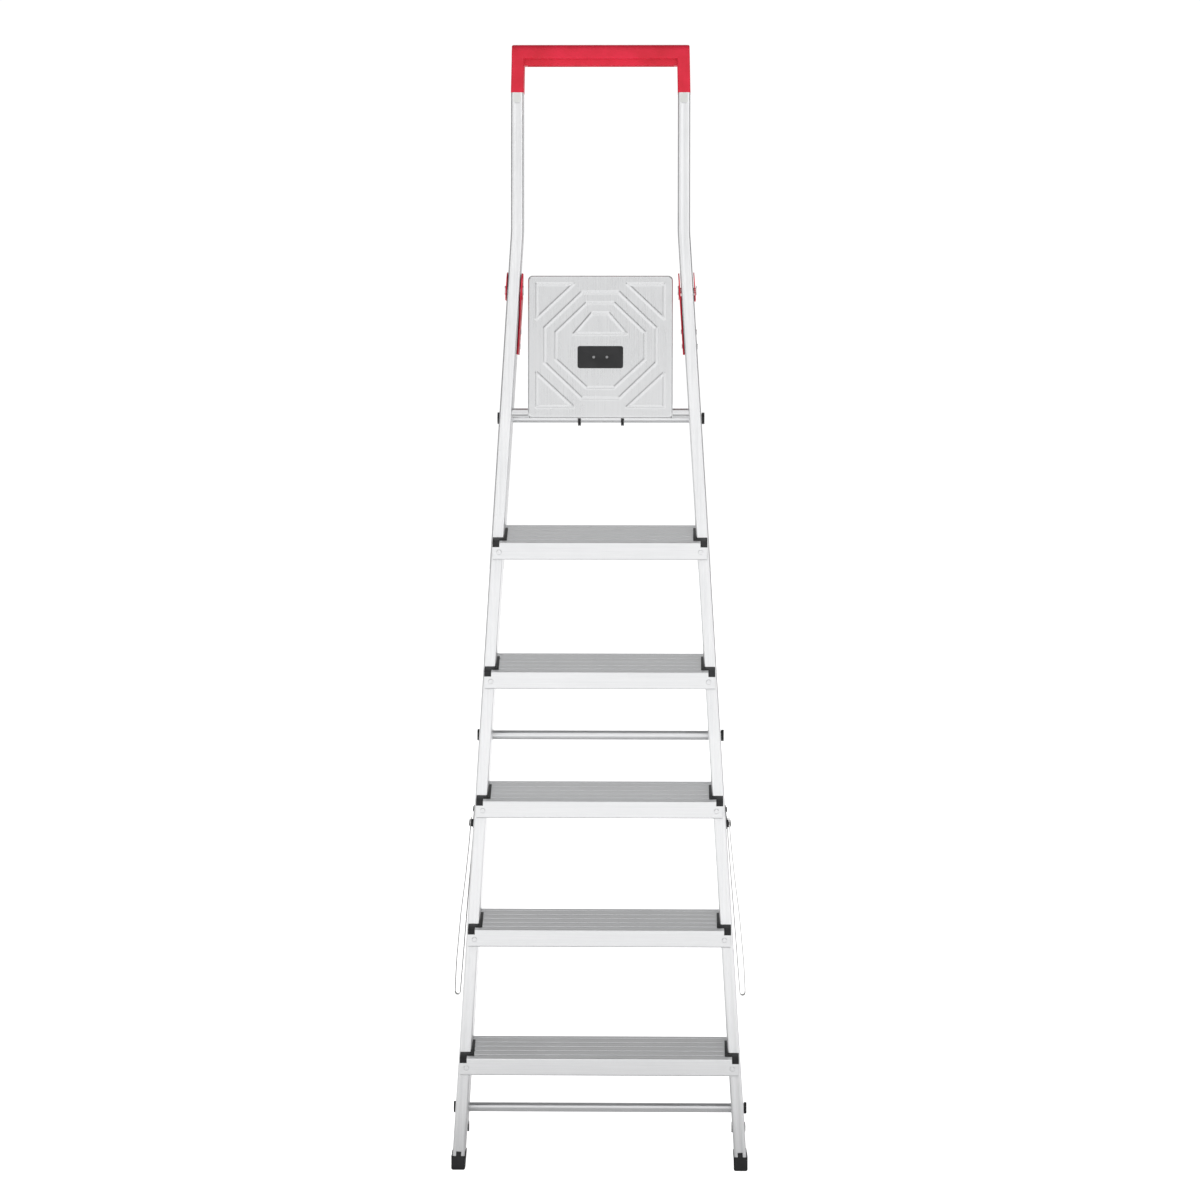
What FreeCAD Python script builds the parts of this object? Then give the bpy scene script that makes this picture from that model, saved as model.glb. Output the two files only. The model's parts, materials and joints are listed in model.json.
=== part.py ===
import FreeCAD, Part
import math
import os
import re

import Sketcher
from FreeCAD import Placement, Rotation, Vector

# A six-rung folding step ladder, folded and standing upright: five treads and a tip-up platform
# between two tubular rails, a hinged rear frame behind them, and a webbing spreader on each side.
# Frame: origin on the floor under the middle of the object, +Z up, the climber stands at -Y.

doc = FreeCAD.newDocument("step_ladder")
sheet = doc.addObject("Spreadsheet::Sheet", "Dims")

DIMENSIONS = {
    # front rails
    "face_y": -35,
    "rail_width": 22,
    "rail_depth": 50,
    "rail_wall": 1.6,
    "rail_corner": 4,
    "rail_flute": 4.5,
    "flute_radius": 15,
    "floor_half": 264.6,
    "rail_slope": 0.0631,
    "rail_bottom": 5,
    "rail_bend": 1675,
    "bend_radius": 260,
    "rail_top": 1921,
    # treads
    "tread_first": 203.3,
    "tread_pitch": 230,
    "tread_tilt": 22,
    "tread_depth": 82,
    "tread_over": 19.5,
    "tread_sheet": 2,
    "tread_inset": 4.3,
    "apron_drop": 30,
    "apron_lip": 7,
    "back_drop": 18,
    "nose_radius": 3,
    "groove_first": 12.8,
    "groove_pitch": 14.8,
    "groove_wide": 5,
    "groove_deep": 0.9,
    "rail_gap": 0.15,
    # tread end caps
    "strip_wide": 5.5,
    "strip_end": 65,
    "strip_drop": 15,
    "cap_proud": 1.3,
    "cap_skin": 0.8,
    "block_wide": 11.5,
    "block_drop": 8,
    "band_deep": 9,
    "spacer_drop": 24,
    # rivets
    "rivet_radius": 2.4,
    "rivet_head": 4.5,
    "rivet_crown": 1.6,
    "small_head": 2.4,
    # handle
    "grip_top": 2006,
    "grip_bar": 25.5,
    "grip_keel": 11.3,
    "keel_front": 11,
    "keel_deep": 28,
    "grip_proud": 0.4,
    "grip_corner": 4,
    "plug_length": 46,
    "clip_wide": 13,
    "clip_tall": 16,
    "clip_thick": 0.8,
    # feet
    "foot_wide": 24.8,
    "foot_tall": 25,
    "foot_ear": 8,
    "foot_flat": 20,
    "foot_wall": 1.3,
    # platform
    "axle_height": 1354.5,
    "axle_back": 12,
    "axle_radius": 7.5,
    "plate_wide": 257,
    "plate_long": 252.7,
    "plate_low": 10.1,
    "plate_off": 9,
    "plate_sheet": 1.5,
    "plate_rim": 12,
    "plate_corner": 8,
    "ear_radius": 11.5,
    "bush_wall": 1,
    "insert_wide": 81,
    "insert_tall": 39.5,
    "insert_up": 98.1,
    "insert_proud": 1.2,
    "insert_pitch": 23.4,
    "latch_reach": 194.6,
    "ridge_wide": 4.5,
    "ridge_tall": 1,
    # hinge
    "pivot_height": 1571.5,
    "pivot_back": 25,
    "pin_radius": 5,
    "cheek_gap": 1.45,
    "cheek_outer": 1.6,
    "cheek_inner": 2.2,
    "boss_proud": 1,
    "boss_radius": 16.8,
    # rear frame
    "leg_gap": 3,
    "leg_depth": 36,
    "leg_wall": 1.4,
    "leg_top": 1533,
    "leg_bottom": 62,
    "bar_radius": 8.5,
    "bar_wall": 1.2,
    "bar_upper": 1345,
    "bar_middle": 775.5,
    "bar_lower": 102.4,
    "bar_cap_radius": 10.4,
    "bar_cap_proud": 5.8,
    "catch_proud": 3.4,
    "catch_ring": 4.9,
    "rear_foot_low": 54.8,
    "rear_foot_tall": 19,
    # spreader straps
    "strap_wide": 18,
    "strap_thick": 1.2,
    "strap_off": 4,
    "strap_gap": 2,
    "anchor_height": 621,
    "loop_height": 307.1,
    "loop_half": 254,
    "stud_radius": 3,
    "backplate_wide": 18,
    "backplate_tall": 41,
    "backplate_thick": 1.6,
}

for row, (alias, number) in enumerate(DIMENSIONS.items(), start=1):
    sheet.set("A%d" % row, alias)
    sheet.set("B%d" % row, str(number))
    sheet.setAlias("B%d" % row, alias)
doc.recompute()

SIDES = {"left": -1, "right": 1}
TREADS = 5
subparts = []


def bound(text):
    """The expression with each dimension's name turned into its cell."""
    return re.sub(r"[a-z_]+", lambda m: "Dims." + m.group() if m.group() in DIMENSIONS else m.group(), str(text))


def num(text):
    """The present value of an expression in the sheet's names."""
    return float(sheet.evalExpression(bound(text)))


def bind(obj, **sizes):
    for name, text in sizes.items():
        obj.setExpression(name, bound(text))


def place(obj, x="0", y="0", z="0", axis=(0, 0, 1), angle="0"):
    obj.Placement = Placement(Vector(num(x), num(y), num(z)), Rotation(Vector(*axis), num(angle)))
    obj.setExpression(".Placement.Base.x", bound(x))
    obj.setExpression(".Placement.Base.y", bound(y))
    obj.setExpression(".Placement.Base.z", bound(z))
    if re.search("[a-z]", angle):
        obj.setExpression(".Placement.Rotation.Angle", bound(angle))
    return obj


def place_leaning(obj, side, foot, x, y, z):
    """Places a piece in the frame of a tube that leans with the taper, from the middle of its lower end."""
    turn = lean(side)
    return place(
        obj,
        "%s + (%s) * cos(%s) + (%s) * sin(%s)" % (foot[0], x, turn, z, turn),
        "%s + (%s)" % (foot[1], y),
        "%s - (%s) * sin(%s) + (%s) * cos(%s)" % (foot[2], x, turn, z, turn),
        (0, 1, 0), turn)


def keep(obj, label):
    """Marks an object as a sub-part of the ladder and gives it its name."""
    obj.Label = label
    subparts.append(obj)
    return obj


# ---------------------------------------------------------------- sketches and features

def new_body(name):
    return doc.addObject("PartDesign::Body", name)


def new_sketch(body, role, offset=None):
    sketch = body.newObject("Sketcher::SketchObject", body.Name + "_sketch")
    plane = [f for f in body.Origin.OriginFeatures if f.Role == role][0]
    sketch.AttachmentSupport = [(plane, "")]
    sketch.MapMode = "FlatFace"
    if offset is not None:
        sketch.AttachmentOffset = Placement(Vector(0, 0, num(offset)), Rotation())
        sketch.setExpression(".AttachmentOffset.Base.z", bound(offset))
    return sketch


def outline(sketch, points, arcs=None):
    """Draws a closed outline. arcs maps an edge's number to (radius, side): side 1 keeps the centre to
    the left of travel, -1 to the right."""
    arcs = arcs or {}
    first = sketch.GeometryCount
    count = len(points)
    spots = [Vector(num(x), num(y), 0) for x, y in points]
    ends = []
    for i in range(count):
        start, stop = spots[i], spots[(i + 1) % count]
        edge = first + i
        if i in arcs:
            radius, side = num(arcs[i][0]), arcs[i][1]
            chord = stop - start
            left = Vector(-chord.y, chord.x, 0).normalize()
            rise = radius - math.sqrt(max(radius ** 2 - (chord.Length / 2) ** 2, 0))
            middle = (start + stop) * 0.5 - left * rise * side
            sketch.addGeometry(Part.Arc(start, middle, stop), False)
            ends.append((edge, 1, 2) if side > 0 else (edge, 2, 1))
        else:
            sketch.addGeometry(Part.LineSegment(start, stop), False)
            ends.append((edge, 1, 2))
    for i in range(count):
        edge, _, tail = ends[i]
        following, head, _ = ends[(i + 1) % count]
        sketch.addConstraint(Sketcher.Constraint("Coincident", edge, tail, following, head))
    for i, (x, y) in enumerate(points):
        edge, head, _ = ends[i]
        for kind, text, value in (("DistanceX", x, spots[i].x), ("DistanceY", y, spots[i].y)):
            row = sketch.addConstraint(Sketcher.Constraint(kind, -1, 1, edge, head, value))
            sketch.setExpression("Constraints[%d]" % row, bound(text))
    for i, (radius, _) in arcs.items():
        row = sketch.addConstraint(Sketcher.Constraint("Radius", ends[i][0], num(radius)))
        sketch.setExpression("Constraints[%d]" % row, bound(radius))
    return sketch


def rounded_rectangle(sketch, half_x, half_y, radius, flute=None):
    """A rectangle about the sketch's origin with round corners, and a shallow flute on both short faces."""
    hx, hy, r = "(%s)" % half_x, "(%s)" % half_y, "(%s)" % radius
    points = [("-%s + %s" % (hx, r), "-%s" % hy)]
    arcs = {}
    if flute:
        points += [("-" + flute, "-%s" % hy), (flute, "-%s" % hy)]
        arcs[1] = ("flute_radius", -1)
    points += [("%s - %s" % (hx, r), "-%s" % hy), (hx, "-%s + %s" % (hy, r))]
    arcs[len(points) - 2] = (r, 1)
    points += [(hx, "%s - %s" % (hy, r)), ("%s - %s" % (hx, r), hy)]
    arcs[len(points) - 2] = (r, 1)
    if flute:
        points += [(flute, hy), ("-" + flute, hy)]
        arcs[len(points) - 2] = ("flute_radius", -1)
    points += [("-%s + %s" % (hx, r), hy), ("-" + hx, "%s - %s" % (hy, r))]
    arcs[len(points) - 2] = (r, 1)
    points += [("-" + hx, "-%s + %s" % (hy, r))]
    arcs[len(points) - 1] = (r, 1)
    return outline(sketch, points, arcs)


def pad(body, sketch, length, symmetric=False, reverse=False):
    feature = body.newObject("PartDesign::Pad", body.Name + "_pad")
    feature.Profile = sketch
    feature.Midplane = symmetric
    feature.Reversed = reverse
    bind(feature, Length=length)
    body.Tip = feature
    return feature


def pocket(body, sketch, length, symmetric=False, reverse=False):
    feature = body.newObject("PartDesign::Pocket", body.Name + "_pocket")
    feature.Profile = sketch
    feature.Midplane = symmetric
    feature.Reversed = reverse
    bind(feature, Length=length)
    body.Tip = feature
    return feature


# ---------------------------------------------------------------- primitives and booleans

def box(x, y, z, at=("0", "0", "0"), axis=(0, 0, 1), angle="0"):
    obj = doc.addObject("Part::Box", "block")
    bind(obj, Length=x, Width=y, Height=z)
    return place(obj, *at, axis=axis, angle=angle)


def cylinder(radius, length, at=("0", "0", "0"), axis=(0, 0, 1), angle="0"):
    obj = doc.addObject("Part::Cylinder", "round")
    bind(obj, Radius=radius, Height=length)
    return place(obj, *at, axis=axis, angle=angle)


def cross_cylinder(radius, length, y, z, x="0"):
    """A cylinder along X, centred on x."""
    return cylinder(radius, length, ("%s - (%s) / 2" % (x, length), y, z), (0, 1, 0), "90")


def fuse(objects):
    obj = doc.addObject("Part::MultiFuse", "joined")
    obj.Shapes = objects
    obj.Refine = True
    return obj


def cut(base, tools):
    tool = tools[0] if len(tools) == 1 else fuse(tools)
    obj = doc.addObject("Part::Cut", "cut")
    obj.Base = base
    obj.Tool = tool
    obj.Refine = True
    return obj


def group(objects):
    """Separate solids that share a node."""
    obj = doc.addObject("Part::Compound", "group")
    obj.Links = objects
    return obj


def half_at(height):
    """Half width over the tapering rails' outer faces at a height."""
    return "(floor_half - rail_slope * (%s))" % height


def side_x(side, height, inward="0"):
    """x of the rails' outer face at a height, moved towards the middle by inward."""
    return "%d * (%s - (%s))" % (side, half_at(height), inward)


def rail_centre(side, height):
    return side_x(side, height, "rail_width / 2")


TAPER = "atan(rail_slope)"


def lean(side):
    """The turn about Y that lays a vertical piece along a rail."""
    return "-%d * %s" % (side, TAPER)


# ---------------------------------------------------------------- front rails

def rail_pipe(body, half_x, half_y, corner, flute, kind):
    profile = new_sketch(body, "XY_Plane")
    rounded_rectangle(profile, half_x, half_y, corner, flute)
    feature = body.newObject("PartDesign::%sPipe" % kind, body.Name + "_pipe")
    feature.Profile = profile
    return feature


def rail_spine(body, side):
    """The rail's centre line: straight up the taper, then a bend to vertical."""
    lower = num("(rail_bend - rail_bottom) / cos(%s)" % TAPER)
    upper = num("rail_top - rail_bend")
    taper = math.radians(num(TAPER))
    radius = num("bend_radius")
    tangent = radius * math.tan(taper / 2)
    before = Vector(0, lower - tangent, 0)
    after = Vector(side * tangent * math.sin(taper), lower + tangent * math.cos(taper), 0)
    centre = Vector(side * radius, lower - tangent, 0)
    middle = centre + Vector(-side * math.cos(taper / 2), math.sin(taper / 2), 0) * radius
    end = Vector(side * upper * math.sin(taper), lower + upper * math.cos(taper), 0)
    spine = new_sketch(body, "XZ_Plane")
    spine.addGeometry(Part.LineSegment(Vector(0, 0, 0), before), False)
    spine.addGeometry(Part.Arc(before, middle, after), False)
    spine.addGeometry(Part.LineSegment(after, end), False)
    head, tail = (2, 1) if side > 0 else (1, 2)
    spine.addConstraint(Sketcher.Constraint("Coincident", 0, 1, -1, 1))
    spine.addConstraint(Sketcher.Constraint("Vertical", 0))
    spine.addConstraint(Sketcher.Constraint("Tangent", 0, 2, 1, head))
    spine.addConstraint(Sketcher.Constraint("Tangent", 1, tail, 2, 1))
    for kind, args, text in (
        ("DistanceY", (0, 1, 0, 2), "(rail_bend - rail_bottom) / cos(%s) - bend_radius * tan(%s / 2)" % (TAPER, TAPER)),
        ("Radius", (1,), "bend_radius"),
        ("DistanceX", (2, 1, 2, 2) if side > 0 else (2, 2, 2, 1),
         "(rail_top - rail_bend - bend_radius * tan(%s / 2)) * sin(%s)" % (TAPER, TAPER)),
        ("DistanceY", (2, 1, 2, 2),
         "(rail_top - rail_bend - bend_radius * tan(%s / 2)) * cos(%s)" % (TAPER, TAPER)),
    ):
        row = spine.addConstraint(Sketcher.Constraint(kind, *args, num(text)))
        spine.setExpression("Constraints[%d]" % row, bound(text))
    return spine


def along_rail(obj, side, x="0", y="0", z="0"):
    foot = (rail_centre(side, "rail_bottom"), "face_y + rail_depth / 2", "rail_bottom")
    return place_leaning(obj, side, foot, x, y, z)


def front_rail(side, name):
    body = new_body(name + "_tube")
    spine = rail_spine(body, side)
    outer = rail_pipe(body, "rail_width / 2", "rail_depth / 2", "rail_corner", "rail_flute", "Additive")
    outer.Spine = (spine, [])
    body.Tip = outer
    inner = rail_pipe(body, "rail_width / 2 - rail_wall", "rail_depth / 2 - rail_wall",
                      "rail_corner - rail_wall", None, "Subtractive")
    inner.Spine = (spine, [])
    body.Tip = inner
    return along_rail(body, side)


def rail_hull(side, grow, length="rail_bend - rail_bottom - 60"):
    """The straight part of a rail as a solid block, for cutting other pieces to fit it."""
    obj = box("rail_width + 2 * (%s)" % grow, "rail_depth + 2 * (%s)" % grow, length)
    return along_rail(obj, side, "-rail_width / 2 - (%s)" % grow, "-rail_depth / 2 - (%s)" % grow)


def rail_notch(side):
    """Everything from a rail's front face backwards and outwards, which the treads' rear part keeps out of."""
    obj = box("rail_width + rail_gap + 60", "rail_depth + rail_gap + 60", "rail_bend - rail_bottom - 60")
    x = "-rail_width / 2 - rail_gap" if side > 0 else "-rail_width / 2 - 60"
    return along_rail(obj, side, x, "-rail_depth / 2 - rail_gap")


rails = {name: front_rail(side, name + "_front_rail") for name, side in SIDES.items()}
hulls = {name: rail_hull(side, "rail_gap") for name, side in SIDES.items()}
notches = {name: rail_notch(side) for name, side in SIDES.items()}
rail_tools = {side: [] for side in SIDES}

# ---------------------------------------------------------------- treads and their end caps

EDGE_Y = "(face_y - tread_over)"


def tread_height(number):
    return "(tread_first + tread_pitch * %d)" % (number - 1)


def on_tread(number, x, back, up):
    """A point given from the tread's front top edge: back along its top, and up from its top."""
    return (x,
            "%s + (%s) * cos(tread_tilt) - (%s) * sin(tread_tilt)" % (EDGE_Y, back, up),
            "%s + (%s) * sin(tread_tilt) + (%s) * cos(tread_tilt)" % (tread_height(number), back, up))


def tread_box(number, x_from, wide, back, deep, up, tall):
    return box(wide, deep, tall, on_tread(number, x_from, back, up), (1, 0, 0), "tread_tilt")


def tread_half(number):
    return "(%s - tread_inset)" % half_at(tread_height(number) + " - 8")


def hanging(back, down):
    """A point of the tread's section given parallel to the rails: back from the nosing, and down from it."""
    return ("(%s) * cos(tread_tilt) - (%s) * sin(tread_tilt)" % (back, down),
            "-(%s) * sin(tread_tilt) - (%s) * cos(tread_tilt)" % (back, down))


def tread_profile(body):
    """Section in the local YZ plane: a ribbed top, a round nosing, an apron parallel to the rails, a back flange."""
    nose = "nose_radius * tan((90 - tread_tilt) / 2)"
    points = [
        hanging("0", nose),
        hanging("0", "apron_drop - 2"),
        hanging("2", "apron_drop"),
        hanging("apron_lip", "apron_drop"),
        hanging("apron_lip", "apron_drop - tread_sheet"),
        hanging("tread_sheet", "apron_drop - tread_sheet"),
        ("tread_sheet * (1 - sin(tread_tilt)) / cos(tread_tilt)", "-tread_sheet"),
        ("tread_depth - tread_sheet", "-tread_sheet"),
        ("tread_depth - tread_sheet", "-back_drop + tread_sheet"),
        ("tread_depth - apron_lip", "-back_drop + tread_sheet"),
        ("tread_depth - apron_lip", "-back_drop"),
        ("tread_depth - 2", "-back_drop"),
        ("tread_depth", "-back_drop + 2"),
        ("tread_depth", "-2"),
        ("tread_depth - 2", "0"),
        (nose, "0"),
    ]
    arcs = {1: ("2", 1), 11: ("2", 1), 13: ("2", 1), 15: ("nose_radius", 1)}
    return outline(new_sketch(body, "YZ_Plane"), points, arcs)


def rectangle(sketch, x0, x1, y0, y1):
    return outline(sketch, [(x0, y0), (x1, y0), (x1, y1), (x0, y1)])


def tread(number):
    body = new_body("tread_%d_extrusion" % number)
    pad(body, tread_profile(body), "2 * " + tread_half(number), symmetric=True)
    doc.recompute()
    slot = new_sketch(body, "YZ_Plane")
    rectangle(slot, "groove_first - groove_wide / 2", "groove_first + groove_wide / 2", "-groove_deep", "groove_deep")
    groove = pocket(body, slot, "3 * " + tread_half(number), symmetric=True)
    rows = body.newObject("PartDesign::LinearPattern", body.Name + "_grooves")
    rows.Originals = [groove]
    rows.Direction = (slot, ["H_Axis"])
    rows.Occurrences = 5
    bind(rows, Length="4 * groove_pitch")
    body.Tip = rows
    return place(body, "0", EDGE_Y, tread_height(number), (1, 0, 0), "tread_tilt")


def tread_rivet(number, side):
    """A blind rivet through the apron end, square to the apron, into the cap's spacer."""
    x = "%d * (%s - rail_width / 2)" % (side, tread_half(number))

    def pin(radius, length, ahead):
        spot = (x, "%s - 0.05 - (%s)" % (EDGE_Y, ahead), tread_height(number) + " - 17")
        return cylinder(radius, length, spot, (1, 0, 0), "-90"), spot

    shank, spot = pin("rivet_radius", "14", "0")
    head = pin("rivet_head", "rivet_crown", "rivet_crown")[0]
    dimple = pin("rivet_radius / 1.6", "rivet_crown", "rivet_crown + 0.6")[0]
    dome = doc.addObject("Part::Fillet", "dome")
    doc.recompute()
    dome.Base = head
    dome.Edges = [(i + 1, num("rivet_crown") * 0.7, num("rivet_crown") * 0.7)
                  for i, edge in enumerate(head.Shape.Edges)
                  if edge.Curve.TypeId == "Part::GeomCircle"
                  and edge.CenterOfMass.y < num(spot[1]) - num("rivet_crown") * 0.6]
    return cut(fuse([dome, shank]), [dimple]), pin("rivet_radius", "14", "0")[0]


def end_cap(number, side, plate, hole):
    """A moulded cap: a strip beside the rail, a band across its front, a corner block and a spacer."""
    half = tread_half(number)
    inner = "(%s - rail_width)" % half_at(tread_height(number) + " + 10")

    def across(near, far):
        """x of a block that runs from near to far, both measured outwards from the middle."""
        return near if side > 0 else "-(%s)" % far

    def block(near, far, back, deep, up, tall):
        return tread_box(number, across(near, far), "(%s) - (%s)" % (far, near), back, deep, up, tall)

    def upright(near, far, back, deep, top, tall):
        """A block parallel to the rails: back from the nosing, and top from the nosing's height."""
        return box("(%s) - (%s)" % (far, near), deep, tall,
                   (across(near, far), "%s + (%s)" % (EDGE_Y, back), "%s + (%s) - (%s)" % (tread_height(number), top, tall)))

    strip = block(inner + " - strip_wide", inner + " + 3", "tread_over - band_deep",
                  "strip_end - tread_over + band_deep", "-strip_drop", "strip_drop + cap_proud")
    band = block(inner + " - strip_wide", half + " + cap_skin", "tread_over - band_deep",
                 "band_deep + 4", "-tread_sheet", "tread_sheet + cap_proud")
    corner = block(half + " - block_wide", half + " + cap_skin", "-cap_skin", "tread_over + 3",
                   "-block_drop + 1", "block_drop - 1 + cap_proud")
    front = upright(half + " - block_wide", half + " + cap_skin", "-cap_skin", "6", "0.3", "block_drop + 0.3")
    spacer = upright(inner, half, "tread_sheet - 0.5", "tread_over + 3", "-2.5", "spacer_drop - 2.5")
    name = "left" if side < 0 else "right"
    cap = cut(fuse([strip, band, corner, front, spacer]), [plate, hulls[name], hole])
    return keep(cap, "tread_%d_%s_cap" % (number, name))


rivets = []
for number in range(1, TREADS + 1):
    extrusion = tread(number)
    holes = {}
    for name, side in SIDES.items():
        rivet, holes[name] = tread_rivet(number, side)
        rivets.append(rivet)
    plate = cut(extrusion, [notches["left"], notches["right"], holes["left"], holes["right"]])
    keep(plate, "tread_%d" % number)
    for name, side in SIDES.items():
        end_cap(number, side, plate, holes[name])
keep(group(rivets), "tread_rivets")

# ---------------------------------------------------------------- handle

def grip_profile(body):
    top, bar = "grip_top", "grip_top - grip_bar"
    low = bar + " - grip_keel"
    back = "rail_depth + grip_proud"
    points = [
        ("-grip_proud + grip_corner", bar), ("keel_front", bar), ("keel_front", low + " + 4"),
        ("keel_front + 4", low), ("keel_front + keel_deep - 4", low), ("keel_front + keel_deep", low + " + 4"),
        ("keel_front + keel_deep", bar), (back + " - grip_corner", bar), (back, bar + " + grip_corner"),
        (back, top + " - grip_corner"), (back + " - grip_corner", top),
        ("-grip_proud + grip_corner", top), ("-grip_proud", top + " - grip_corner"),
        ("-grip_proud", bar + " + grip_corner"),
    ]
    arcs = {2: ("4", 1), 4: ("4", 1), 7: ("grip_corner", 1), 9: ("grip_corner", 1), 11: ("grip_corner", 1),
            13: ("grip_corner", 1)}
    return outline(new_sketch(body, "YZ_Plane"), points, arcs)


GRIP_HALF = half_at("rail_bend")


def handle_grip():
    bar = new_body("grip_bar")
    pad(bar, grip_profile(bar), "2 * (%s + grip_proud)" % GRIP_HALF, symmetric=True)
    place(bar, "0", "face_y", "0")
    pieces = [bar]
    for name, side in SIDES.items():
        x = "%d * (%s - rail_width / 2)" % (side, GRIP_HALF)
        leg = new_body(name + "_grip_leg")
        sketch = new_sketch(leg, "XY_Plane")
        rounded_rectangle(sketch, "rail_width / 2 + grip_proud", "rail_depth / 2 + grip_proud", "rail_corner")
        pad(leg, sketch, "grip_top - rail_top - grip_corner")
        place(leg, x, "face_y + rail_depth / 2", "rail_top")
        plug = new_body(name + "_grip_plug")
        sketch = new_sketch(plug, "XY_Plane")
        rounded_rectangle(sketch, "rail_width / 2 - rail_wall - 0.1", "rail_depth / 2 - rail_wall - 0.1",
                          "rail_corner - rail_wall")
        pad(plug, sketch, "plug_length + 4")
        place(plug, x, "face_y + rail_depth / 2", "rail_top - plug_length")
        pieces += [leg, plug]
    envelope = new_body("grip_envelope")
    half = "(%s + grip_proud)" % GRIP_HALF
    low = "rail_top - plug_length - 5"
    outline(new_sketch(envelope, "XZ_Plane"), [
        ("-" + half, low), (half, low), (half, "grip_top - grip_corner"), (half + " - grip_corner", "grip_top"),
        ("-%s + grip_corner" % half, "grip_top"), ("-" + half, "grip_top - grip_corner"),
    ], {2: ("grip_corner", 1), 4: ("grip_corner", 1)})
    pad(envelope, envelope.Group[-1], "4 * rail_depth", symmetric=True)
    rounded = doc.addObject("Part::MultiCommon", "grip_rounded")
    rounded.Shapes = [fuse(pieces), envelope]
    cavities = [box("2 * (%s - rail_width - 6)" % GRIP_HALF, "keel_deep - 6", "grip_bar + grip_keel - 4",
                    ("-(%s - rail_width - 6)" % GRIP_HALF, "face_y + keel_front + 3",
                     "grip_top - grip_bar - grip_keel - 0.5"))]
    for side in SIDES.values():
        x = "%d * (%s - rail_width / 2) - 6.5" % (side, GRIP_HALF)
        cavities.append(box("13", "rail_depth - 10", "grip_top - rail_top + plug_length - 5",
                            (x, "face_y + 5", "rail_top - plug_length - 1")))
    return cut(rounded, cavities)


keep(handle_grip(), "handle_grip")

clips = []
for name, side in SIDES.items():
    x = "%d * (%s - rail_width / 2)" % (side, GRIP_HALF)
    at = (x + " - clip_wide / 2", "face_y - clip_thick", "rail_top - clip_tall - 1")
    clips.append(box("clip_wide", "clip_thick - 0.02", "clip_tall", at))
    slot = box("9", "rail_wall + 1", "2.4", (x + " - 4.5", "face_y - 0.5", "rail_top - clip_tall - 3.6"))
    rail_tools[name].append(slot)
keep(group(clips), "handle_locking_clips")

# ---------------------------------------------------------------- front feet

def front_foot(side):
    """A moulded shoe: a block under the tube, ears up its sides and a tongue up its front."""
    name = "left" if side < 0 else "right"
    body = new_body(name + "_shoe_block")
    sketch = new_sketch(body, "YZ_Plane")
    deep = "(rail_depth / 2 + foot_wall)"
    rise = "((2 * %s - foot_flat) * tan(tread_tilt))" % deep
    outline(sketch, [
        ("-%s + 3" % deep, "0"), ("-%s + foot_flat" % deep, "0"), (deep, rise),
        (deep, "foot_tall"), ("-" + deep, "foot_tall"), ("-" + deep, "3"),
    ], {5: ("3", 1)})
    pad(body, sketch, "foot_wide", symmetric=True)
    centre_x = rail_centre(side, "foot_tall / 2")
    place(body, centre_x, "face_y + rail_depth / 2", "0")
    doc.recompute()
    rounded = doc.addObject("Part::Fillet", "shoe_edges")
    rounded.Base = body
    rounded.Edges = [(i + 1, 3.4, 3.4) for i, edge in enumerate(body.Shape.Edges)
                     if edge.BoundBox.XLength < 0.01 and edge.BoundBox.ZMax < 3.01 + num(rise)
                     and edge.BoundBox.YLength > 5]
    wall = "foot_wall - 0.1"
    ears = []
    for turn in (-1, 1):
        ear = box(wall, "rail_depth - 8", "foot_ear + 4")
        along_rail(ear, side, "%d * (rail_width / 2 + (%s) / 2 + 0.1) - (%s) / 2" % (turn, wall, wall),
                   "-rail_depth / 2 + 4", "foot_tall - rail_bottom - 4")
        ears.append(ear)
    tongue = box("9", "foot_wall", "foot_ear + 4")
    along_rail(tongue, side, "-4.5", "-rail_depth / 2 - foot_wall", "foot_tall - rail_bottom - 4")
    hull = rail_hull(side, "0.1", "200")
    plug = tube_plug(side)
    return keep(fuse([cut(fuse([rounded, tongue] + ears), [hull]), plug]), name + "_front_foot")


def tube_plug(side):
    wall = "rail_wall + 0.9"
    obj = box("rail_width - 2 * (%s)" % wall, "rail_depth - 2 * (%s)" % wall, "18")
    return along_rail(obj, side, "-rail_width / 2 + " + wall, "-rail_depth / 2 + " + wall, "-2.5")


for name, side in SIDES.items():
    front_foot(side)

# ---------------------------------------------------------------- platform axle

AXLE_Y = "(face_y + axle_back)"
AXLE_HALF = "(%s - rail_width + 7)" % half_at("axle_height")
axle_bore = cross_cylinder("axle_radius - 1.3", "2 * %s + 2" % AXLE_HALF, AXLE_Y, "axle_height")
axle = cut(cross_cylinder("axle_radius", "2 * " + AXLE_HALF, AXLE_Y, "axle_height"), [axle_bore])
keep(axle, "platform_axle")
for name, side in SIDES.items():
    rail_tools[name].append(cross_cylinder("axle_radius + 0.03", "2 * %s + 0.4" % AXLE_HALF, AXLE_Y, "axle_height"))

# ---------------------------------------------------------------- platform

PLATE_BACK = "(%s - plate_off)" % AXLE_Y
PLATE_LOW = "(axle_height - plate_low)"


RIDGE_SHAPES = [
    # the two nested octagons, the trapezoid and the four corner triangles, from the plate's middle
    [(-99, 34), (-33, 97), (33, 97), (99, 34), (99, -28), (33, -91), (-33, -91), (-99, -28)],
    [(-79, 26), (-24.5, 78), (24.5, 78), (79, 26), (79, -22), (24.5, -72), (-24.5, -72), (-79, -22)],
    [(-46.5, 23.5), (-15, 60), (15, 60), (46.5, 23.5)],
    [(-113, 111.5), (-48, 111.5), (-113, 50.5)],
    [(113, 111.5), (113, 50.5), (48, 111.5)],
    [(-113, -106), (-113, -46), (-48, -106)],
    [(113, -106), (48, -106), (113, -46)],
]


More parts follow.
